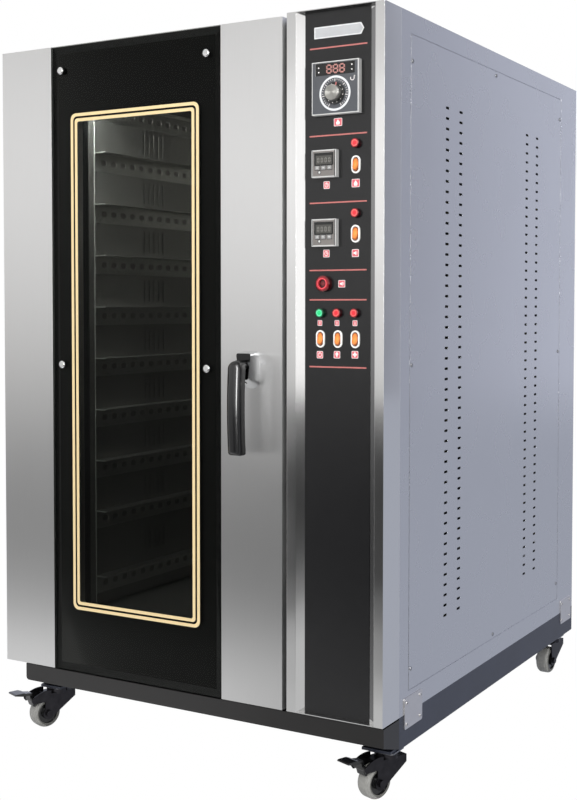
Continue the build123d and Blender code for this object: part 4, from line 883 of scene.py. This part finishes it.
def lens(name, middle, half_size, stops, glow):
    """Translucent coloured plastic, glossy outside, with rings of tone about its middle that are painted
    highlight and painted shade, and a faint painted glow.

    The stops are colours by distance from the middle, which is 1 at half the piece's size.
    """
    m = new_material(name)
    swirl = grain(m, 3 * MM, 2.0)
    centre = (middle[0], 0.0, middle[1])
    shrink = (1 / half_size[0], 0.0, 1 / half_size[1])
    place = add(m, "ShaderNodeTexCoord").outputs["Object"]
    offset = add(m, "ShaderNodeVectorMath", {0: place, 1: centre}, operation="SUBTRACT")
    share = add(m, "ShaderNodeVectorMath", {0: offset, 1: shrink}, operation="MULTIPLY")
    away = add(m, "ShaderNodeVectorMath", {0: share}, operation="LENGTH").outputs["Value"]
    uneven = add(m, "ShaderNodeMapRange", {"Value": swirl, "To Min": -0.12, "To Max": 0.12})
    away = add(m, "ShaderNodeMath", {0: away, 1: uneven}, operation="ADD")
    # The rings of tone are painted light: paler rings stand for highlights, darker ones for shade.
    rings = add(m, "ShaderNodeValToRGB", {"Fac": away})
    set_stops(rings, [(position, srgb(colour)) for position, colour in stops])
    rounded = add(m, "ShaderNodeBevel", {"Radius": 0.6 * MM}, samples=4)
    shader = add(m, "ShaderNodeBsdfPrincipled", {
        "Base Color": rings,
        "Roughness": 0.16,
        "Coat Weight": 0.5,
        "Coat Roughness": 0.08,
        # The glow is painted light; these lenses are not lit.
        "Emission Color": rings,
        "Emission Strength": glow,
        "Normal": add(m, "ShaderNodeBump", {"Height": swirl, "Distance": 0.02 * MM, "Normal": rounded}),
    })
    add(m, "ShaderNodeOutputMaterial", {"Surface": shader})
    return m


white_plastic = moulded("white_plastic", "e9e7e2", "f6f4f0", 0.25, shine=0.6)
dress(white_plastic, "rocker_bezels")


def rocker_lenses():
    """Each rocker is painted brightest down its middle and brown at its rim: a painted highlight and painted
    shade.
    """
    # Painted highlight in the middle, painted shade at the rim.
    stops = ((0.0, "ff9a48"), (0.45, "f98430"), (0.75, "d4742c"), (1.0, "6e3a1c"))
    for switch in ("heat", "steam", "power", "light", "door_side"):
        name = f"{switch}_rocker"
        low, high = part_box(name)
        middle = ((low.x + high.x) / 2, (low.z + high.z) / 2)
        half_size = ((high.x - low.x) / 2, (high.z - low.z) / 2)
        dress(lens(f"orange_lens_{switch}", middle, half_size, stops, 0.1), name)


def lamp_lenses():
    """Five lamps, each painted with a bright middle, a paler ring and a deep rim: painted highlight and
    painted shade. The one over the first switch is green.
    """
    # The paler ring is a painted highlight, and the deep rim is painted shade.
    red = ((0.0, "e02030"), (0.4, "d81e2c"), (0.62, "ee6a64"), (0.74, "a0121c"), (0.95, "30040a"))
    green = ((0.0, "14c878"), (0.4, "10c070"), (0.62, "66e6ae"), (0.74, "0a7a48"), (0.95, "023020"))
    data = nodes["indicator_lamps"].data
    data.materials.clear()
    radius = 8.6 * MM
    spots = []
    places = ((60.5, 1045.8), (60.4, 921.5), (131.7, 742.4), (97.2, 742.4), (61.6, 742.4))
    for index, (x, z) in enumerate(places):
        spot = (right - x * MM, bottom + z * MM)
        spots.append(spot)
        stops = green if index == 2 else red
        data.materials.append(lens(f"lamp_lens_{index + 1}", spot, (radius, radius), stops, 0.06))
    for face in data.polygons:
        distances = [math.hypot(face.center.x - x, face.center.z - z) for x, z in spots]
        face.material_index = distances.index(min(distances))


rocker_lenses()
lamp_lenses()


def buzzer_rings():
    """The buzzer's ring is deep red, brighter round its throat, where a slotted disc lies, and near black at
    its rim: a painted highlight and painted shade.
    """
    x, z = 124.7, 795.7
    middle = (right - x * MM, bottom + z * MM)
    radius = 14.6 * MM
    # Painted highlight round the throat, painted shade towards the rim.
    stops = ((0.5, "c42834"), (0.62, "e8505a"), (0.7, "a01420"), (0.85, "7a0c16"), (1.0, "38060c"))
    dress(lens("buzzer_red", middle, (radius, radius), stops, 0.05), "buzzer")
    deep = plate_y - 6.0 * MM
    slabs("buzzer_grille", [circle(x, z, 7.9, 28)], deep, 0.3 * MM, display_dark)
    heights = (-4.4, -2.2, 0.0, 2.2, 4.4)
    bars = [rectangle(x, z + up, 2 * math.sqrt(6.6 ** 2 - up ** 2), 1.0) for up in heights]
    # The bars darken away from the middle: painted shade.
    bar_stops = ((0.0, "b03a40"), (0.5, "8a2028"), (1.0, "4a1016"))
    slabs("buzzer_bars", bars, deep - 0.3 * MM, 0.4 * MM,
          lens("buzzer_bar_red", middle, (radius / 2, radius / 2), bar_stops, 0.03))


buzzer_rings()


# Door.
# Two folded bright stainless strips hold a pane of dark glass between them. The pane is printed
# black behind except for a tall window, and two gold lines run round that window.
door_steel = stainless("bright_stainless_door", "d4d4d4", "dcdcdc", 0.36, wave=0.1 * MM, spread=0.9)
dress(door_steel, "door_strips")
dress(plated("door_inner_steel", "4c4c4d", "626263", 0.45), "door_pan")
dress(pane("tinted_glass", "d0d1cf", 0.06), "door_glass")
dress(pane("clear_glass", "f2f5f4", 0.08), "inner_glass")


def chrome(name, dark, light, painted_dark_way, start, end, roughness=0.1):
    """Polished chrome. Its colour is darker on faces turned one way: a painted reflection of the dark side of
    the studio.
    """
    m = new_material(name)
    marks = grain(m, 5 * MM, 4.0)
    own_normal = add(m, "ShaderNodeTexCoord").outputs["Normal"]
    turned = add(m, "ShaderNodeVectorMath", {0: own_normal, 1: painted_dark_way}, operation="DOT_PRODUCT")
    uneven = add(m, "ShaderNodeMapRange", {"Value": marks, "To Min": -0.05, "To Max": 0.05})
    turned = add(m, "ShaderNodeMath", {0: turned.outputs["Value"], 1: uneven}, operation="ADD")
    # Painted reflection: the colour darkens on faces turned one way.
    painted_shade = add(m, "ShaderNodeMapRange", {"Value": turned, "From Min": start, "From Max": end},
                interpolation_type="SMOOTHSTEP")
    colour = add(m, "ShaderNodeMix", {0: painted_shade, 6: srgb(light), 7: srgb(dark)}, data_type="RGBA")
    dull = add(m, "ShaderNodeMapRange",
               {"Value": marks, "To Min": roughness - 0.03, "To Max": roughness + 0.05})
    shader = add(m, "ShaderNodeBsdfPrincipled", {
        "Base Color": colour.outputs[2],
        "Metallic": 1.0,
        "Roughness": dull,
        "Normal": add(m, "ShaderNodeBevel", {"Radius": 0.8 * MM}, samples=4),
    })
    add(m, "ShaderNodeOutputMaterial", {"Surface": shader})
    return m


# The screw domes are painted darker on faces turned to the left: a painted reflection.
dress(chrome("screw_chrome", "4a4a4b", "f4f4f4", (-0.75, -0.2, -0.1), 0.1, 0.5), "glass_screws")
window = dict(x0=391.8, x1=705.8, z0=130.6, z1=1145.8)


def ring_into(build, outer, inner, back, thickness):
    """A flat ring between two outlines with the same number of points."""
    count = len(outer)
    rows = []
    for points, y in ((outer, back), (outer, back - thickness), (inner, back - thickness), (inner, back)):
        rows.append([build.verts.new((right - x * MM, y, bottom + z * MM)) for x, z in points])
    for a, b in ((0, 1), (1, 2), (2, 3), (3, 0)):
        for i in range(count):
            j = (i + 1) % count
            build.faces.new((rows[a][i], rows[a][j], rows[b][j], rows[b][i]))


def window_outline(inset, radius):
    """The window's outline, drawn in by an inset."""
    x = (window["x0"] + window["x1"]) / 2
    z = (window["z0"] + window["z1"]) / 2
    wide = window["x1"] - window["x0"] - 2 * inset
    tall = window["z1"] - window["z0"] - 2 * inset
    return rectangle(x, z, wide, tall, radius, 6)


def glass_print():
    """The black enamel behind the pane, with the window left clear."""
    glass_low, glass_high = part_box("door_glass")
    x0 = (right - glass_high.x) / MM
    x1 = (right - glass_low.x) / MM
    tall = (glass_high.z - glass_low.z) / MM
    outer = rectangle((x0 + x1) / 2, tall / 2, x1 - x0 - 0.2, tall - 0.2, 0.5, 6)
    inner = window_outline(12.0, 4.0)
    enamel = printed("black_enamel", "050506", "09090a")

    def build_print(build):
        ring_into(build, outer, inner, glass_high.y + 0.25 * MM, 0.2 * MM)

    finish_piece(merged(build_print, "glass_print"), "door", enamel)


def gold_paint():
    """Gold paint with a fine flake, slightly metallic."""
    m = new_material("gold_paint")
    flake = grain(m, 1.2 * MM, 6.0)
    colour = add(m, "ShaderNodeMix", {0: flake, 6: srgb("d9bd83"), 7: srgb("f4e0b4")}, data_type="RGBA")
    shader = add(m, "ShaderNodeBsdfPrincipled", {
        "Base Color": colour.outputs[2],
        "Metallic": 0.25,
        "Roughness": add(m, "ShaderNodeMapRange", {"Value": flake, "To Min": 0.3, "To Max": 0.45}),
        "Normal": add(m, "ShaderNodeBump", {"Height": flake, "Distance": 0.01 * MM}),
    })
    add(m, "ShaderNodeOutputMaterial", {"Surface": shader})
    return m


def gold_lines():
    """Two raised gold lines round the window, with a dark gap between them."""
    glass_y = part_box("door_glass")[0].y
    raised = 0.4 * MM

    def build_lines(build):
        ring_into(build, window_outline(0.0, 13.0), window_outline(6.3, 9.0), glass_y, raised)
        ring_into(build, window_outline(10.5, 6.5), window_outline(16.8, 4.0), glass_y, raised)

    finish_piece(merged(build_lines, "gold_window_lines"), "door", gold_paint())


def window_spacer():
    """A bright folded frame behind the pane, round the window."""
    depth = 18.0 * MM
    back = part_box("door_glass")[1].y + 0.5 * MM + depth

    def build_spacer(build):
        ring_into(build, window_outline(7.0, 5.0), window_outline(10.5, 4.0), back, depth)

    finish_piece(merged(build_spacer, "window_spacer"), "door", rail_steel)


glass_print()
gold_lines()
window_spacer()


# Hinges, handle and gland.
# Three lift off hinges in plain steel, a faceted chrome handle base, and a glossy black grip.
# A black plastic gland is screwed into the back, low down.
dress(zinc, "cabinet_hinge_leaves", "door_hinge_leaves", "latch_tongue")
# The handle base is painted darker on its front faces: a painted reflection.
dress(chrome("handle_chrome", "3c3c3d", "e6e7e8", (0.0, -1.0, 0.0), 0.75, 0.98), "handle_base")


def grip_finish():
    """Glossy black plastic. The front of the grip is slightly domed, so a highlight runs down its side."""
    m = new_material("glossy_black_plastic")
    low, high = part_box("handle_lever")
    middle_x = (low.x + high.x) / 2
    half_wide = (high.x - low.x) / 2
    place = add(m, "ShaderNodeTexCoord").outputs["Object"]
    parts = add(m, "ShaderNodeSeparateXYZ", {"Vector": place})
    offset = add(m, "ShaderNodeMath", {0: parts.outputs["X"], 1: middle_x}, operation="SUBTRACT")
    share = add(m, "ShaderNodeMath", {0: offset, 1: half_wide}, operation="DIVIDE")
    square = add(m, "ShaderNodeMath", {0: share, 1: share}, operation="MULTIPLY")
    dome = add(m, "ShaderNodeMath", {0: 1.0, 1: square}, operation="SUBTRACT")
    fine = grain(m, 0.4 * MM)
    cloudy = grain(m, 20 * MM)
    rounded = add(m, "ShaderNodeBevel", {"Radius": 0.4 * MM}, samples=4)
    domed = add(m, "ShaderNodeBump", {"Height": dome, "Distance": 4.5 * MM, "Normal": rounded})
    normal = add(m, "ShaderNodeBump", {"Height": fine, "Distance": 0.004 * MM, "Normal": domed})
    colour = add(m, "ShaderNodeMix", {0: cloudy, 6: srgb("060607"), 7: srgb("0b0b0c")}, data_type="RGBA")
    shader = add(m, "ShaderNodeBsdfPrincipled", {
        "Base Color": colour.outputs[2],
        "Roughness": add(m, "ShaderNodeMapRange", {"Value": fine, "To Min": 0.3, "To Max": 0.4}),
        "Specular IOR Level": 0.15,
        "Coat Weight": 1.0,
        "Coat Roughness": 0.14,
        "Coat Normal": normal,
        "Normal": normal,
    })
    add(m, "ShaderNodeOutputMaterial", {"Surface": shader})
    return m


dress(grip_finish(), "handle_lever")
dress(black_plastic, "cable_gland")


# Floor, light and camera.
# A pale floor, three large soft lamps, a tall narrow one, a lamp in the cavity, one for the grip,
# and the camera where the photograph was taken from.
def set_greys(ramp, stops):
    """Makes a ramp a smooth run of greys, given as places from 0 to 1 and brightnesses."""
    ramp.color_ramp.interpolation = "EASE"
    set_stops(ramp, [(place, (grey, grey, grey, 1.0)) for place, grey in stops])


def on_cloth(material, x, ahead):
    """1 on a dark cloth that lies on the floor in front, fanning out to the left from the column."""
    slant = 0.722
    widening = 0.509
    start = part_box("column_shell")[0].x
    aside = add(material, "ShaderNodeMath", {0: ahead, 1: slant}, operation="MULTIPLY")
    over = add(material, "ShaderNodeMath", {0: x, 1: aside}, operation="ADD")
    wider = add(material, "ShaderNodeMath", {0: ahead, 1: widening}, operation="MULTIPLY")
    spread = add(material, "ShaderNodeMath", {0: wider, 1: 1.0}, operation="ADD")
    edge = add(material, "ShaderNodeMath", {0: over, 1: spread}, operation="DIVIDE")
    return add(material, "ShaderNodeMapRange", {"Value": edge, "From Min": start - 0.02, "From Max": start})


def floor():
    """White to the camera. In the steel it is bright by the oven and darker further off."""
    def build_floor(build):
        bmesh.ops.create_grid(build, x_segments=1, y_segments=1, size=9.0)

    piece = merged(build_floor, "studio_floor")
    m = new_material("studio_floor_paper")
    mottle = grain(m, 400 * MM)
    colour = add(m, "ShaderNodeMix", {0: mottle, 6: srgb("ececec"), 7: srgb("f6f6f6")}, data_type="RGBA")
    paper = add(m, "ShaderNodeBsdfPrincipled",
                {"Base Color": colour.outputs[2], "Roughness": 0.7, "Specular IOR Level": 0.1})
    place = add(m, "ShaderNodeTexCoord").outputs["Object"]
    parts = add(m, "ShaderNodeSeparateXYZ", {"Vector": place})
    x = parts.outputs["X"]
    y = parts.outputs["Y"]
    ahead = add(m, "ShaderNodeMath", {0: front, 1: y}, operation="SUBTRACT")
    ahead = add(m, "ShaderNodeMath", {0: ahead, 1: 0.0}, operation="MAXIMUM")
    more = add(m, "ShaderNodeMath", {0: ahead, 1: 1.5}, operation="ADD")
    far = add(m, "ShaderNodeMath", {0: ahead, 1: more}, operation="DIVIDE")
    left_part = add(m, "ShaderNodeValToRGB", {"Fac": far})
    set_greys(left_part, ((0.0, 0.6), (0.05, 1.0), (0.23, 1.0), (0.3, 0.9), (0.375, 0.5), (0.483, 0.37),
                          (0.615, 0.38), (0.82, 0.6), (0.89, 0.75)))
    right_part = add(m, "ShaderNodeValToRGB", {"Fac": far})
    set_greys(right_part, ((0.0, 0.5), (0.05, 0.6), (0.25, 0.58), (0.3, 0.45), (0.36, 0.2), (0.42, 0.08),
                           (0.52, 0.05), (0.71, 0.08), (0.84, 0.1), (0.87, 1.0)))
    cloth_part = add(m, "ShaderNodeValToRGB", {"Fac": far})
    set_greys(cloth_part, ((0.0, 0.5), (0.05, 0.52), (0.34, 0.5), (0.4, 0.42), (0.47, 0.18), (0.54, 0.06),
                           (0.75, 0.05), (0.84, 0.16), (0.87, 0.9)))
    cloth = on_cloth(m, x, ahead)
    across = add(m, "ShaderNodeMath", {0: x, 1: more}, operation="DIVIDE")
    side = add(m, "ShaderNodeMapRange", {"Value": across, "From Min": -0.1, "From Max": 0.1})
    behind = add(m, "ShaderNodeMapRange", {"Value": y, "From Min": front, "From Max": front + 0.3})
    tone = add(m, "ShaderNodeMix", {0: cloth, 6: left_part, 7: cloth_part}, data_type="RGBA").outputs[2]
    tone = add(m, "ShaderNodeMix", {0: side, 6: tone, 7: right_part}, data_type="RGBA").outputs[2]
    tone = add(m, "ShaderNodeMix", {0: behind, 6: tone, 7: srgb("aeb2be")}, data_type="RGBA").outputs[2]
    mirrored = add(m, "ShaderNodeEmission", {"Color": tone, "Strength": 1.0})
    white = add(m, "ShaderNodeEmission", {"Color": srgb("ffffff"), "Strength": 1.0})
    path = add(m, "ShaderNodeLightPath")
    both = add(m, "ShaderNodeMixShader", {0: path.outputs["Is Glossy Ray"], 1: paper, 2: mirrored})
    both = add(m, "ShaderNodeMixShader", {0: path.outputs["Is Camera Ray"], 1: both, 2: white})
    add(m, "ShaderNodeOutputMaterial", {"Surface": both})
    piece.data.materials.append(m)


def lamp(name, place, target, wide, tall, power, mirrored=False):
    """A soft rectangular lamp, aimed at a target. Metal shows it only where it is mirrored."""
    data = bpy.data.lights.new(name, "AREA")
    data.shape = "RECTANGLE"
    data.size = wide
    data.size_y = tall
    data.energy = power
    made = bpy.data.objects.new(name, data)
    bpy.context.scene.collection.objects.link(made)
    made.location = place
    made.visible_glossy = mirrored
    made.visible_camera = False
    look = Vector(target) - Vector(place)
    made.rotation_euler = look.to_track_quat("-Z", "Y").to_euler()
    return made


def keep_light_on(light, pieces):
    """A lamp lights only the given pieces."""
    receivers = bpy.data.collections.new(f"{light.name}_receivers")
    for piece in pieces:
        receivers.objects.link(piece)
    light.light_linking.receiver_collection = receivers


def world():
    """A pale studio. In the steel it is brightest just over the horizon, and dimmer behind the oven."""
    scene = bpy.context.scene
    scene.world = bpy.data.worlds.new("studio")
    scene.world.use_nodes = True
    scene.world.node_tree.nodes.clear()
    studio = scene.world
    way = add(studio, "ShaderNodeTexCoord").outputs["Generated"]
    parts = add(studio, "ShaderNodeSeparateXYZ", {"Vector": way})
    x = parts.outputs["X"]
    y = parts.outputs["Y"]
    rise = add(studio, "ShaderNodeMapRange", {"Value": parts.outputs["Z"], "From Min": -0.1, "From Max": 0.5})
    left_part = add(studio, "ShaderNodeValToRGB", {"Fac": rise})
    set_greys(left_part, ((0.0, 0.5), (0.16, 0.66), (0.28, 0.84), (0.37, 0.92), (0.43, 0.86), (0.5, 0.6),
                          (0.65, 0.5), (1.0, 0.7)))
    right_part = add(studio, "ShaderNodeValToRGB", {"Fac": rise})
    set_greys(right_part, ((0.0, 0.9), (0.08, 1.0), (0.5, 1.0), (0.56, 0.7), (0.66, 0.4), (1.0, 0.6)))
    leftward = add(studio, "ShaderNodeMapRange", {"Value": x, "From Min": 0.5, "From Max": 0.2})
    back_part = add(studio, "ShaderNodeValToRGB", {"Fac": leftward})
    set_greys(back_part, ((0.0, 0.28), (0.18, 0.29), (0.28, 0.38), (0.36, 0.56), (0.66, 0.64), (0.75, 0.78),
                          (1.0, 0.8)))
    side = add(studio, "ShaderNodeMapRange", {"Value": x, "From Min": -0.45, "From Max": -0.3})
    behind = add(studio, "ShaderNodeMapRange", {"Value": y, "From Min": -0.1, "From Max": 0.3})
    tone = add(studio, "ShaderNodeMix", {0: side, 6: left_part, 7: right_part}, data_type="RGBA").outputs[2]
    tone = add(studio, "ShaderNodeMix", {0: behind, 6: tone, 7: back_part}, data_type="RGBA").outputs[2]
    cast = add(studio, "ShaderNodeMix", {0: behind, 6: srgb("fdfcfb"), 7: srgb("e6eafa")}, data_type="RGBA")
    tone = add(studio, "ShaderNodeMix", {0: 1.0, 6: tone, 7: cast.outputs[2]}, data_type="RGBA",
               blend_type="MULTIPLY").outputs[2]
    mirrored = add(studio, "ShaderNodeBackground", {"Color": tone, "Strength": 1.22})
    soft = add(studio, "ShaderNodeBackground", {"Color": srgb("e6e8ec"), "Strength": 0.75})
    white = add(studio, "ShaderNodeBackground", {"Color": srgb("ffffff"), "Strength": 1.0})
    path = add(studio, "ShaderNodeLightPath")
    both = add(studio, "ShaderNodeMixShader", {0: path.outputs["Is Glossy Ray"], 1: soft, 2: mirrored})
    both = add(studio, "ShaderNodeMixShader", {0: path.outputs["Is Camera Ray"], 1: both, 2: white})
    add(studio, "ShaderNodeOutputWorld", {"Surface": both})
    scene.view_settings.view_transform = "Standard"


def camera():
    """The camera stands front right, a little above the middle of the door."""
    data = bpy.data.cameras.new("camera")
    data.sensor_width = 36.0
    data.lens = 57.18
    data.shift_x = 0.0207
    data.shift_y = -0.0556
    data.clip_end = 50.0
    made = bpy.data.objects.new("camera", data)
    bpy.context.scene.collection.objects.link(made)
    made.location = (1.41826, -2.55416, 0.89938)
    made.rotation_euler = (math.radians(87.81), 0.0, math.radians(30.725))
    bpy.context.scene.camera = made


floor()
lamp("front_softbox", (-0.6, -4.2, 3.0), (0.0, 0.0, 0.9), 3.4, 2.4, 110.0)
lamp("side_softbox", (4.2, 0.4, 2.4), (0.3, 0.0, 0.7), 3.0, 2.6, 60.0)
lamp("top_softbox", (0.2, 0.2, 4.6), (0.0, 0.0, 0.0), 3.2, 3.2, 50.0)
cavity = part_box("cavity_lamp")
lamp("key_softbox", (2.4, -2.6, 1.9), (0.2, -0.5, 0.9), 0.35, 2.4, 34.0, True)
glow = lamp("cavity_glow", (cavity[0].x, cavity[0].y, cavity[0].z - 0.03), (cavity[0].x - 0.1, 0.0, 0.0),
            0.3, 0.2, 6.0, True)
inside = ("cavity_liner", "duct_panels", "tray_rails", "fan_baffle", "fan_impeller", "heating_elements",
          "steam_pipe", "door_seal", "door_pan")
keep_light_on(glow, [nodes[name] for name in inside] + [edge_folds])
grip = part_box("handle_lever")[0]
grip_glow = lamp("grip_softbox", (grip.x + 0.7, grip.y - 2.1, 1.04), (grip.x, grip.y, 0.8), 1.2, 1.05,
                 85.0, True)
keep_light_on(grip_glow, [nodes["handle_lever"]])
world()
camera()
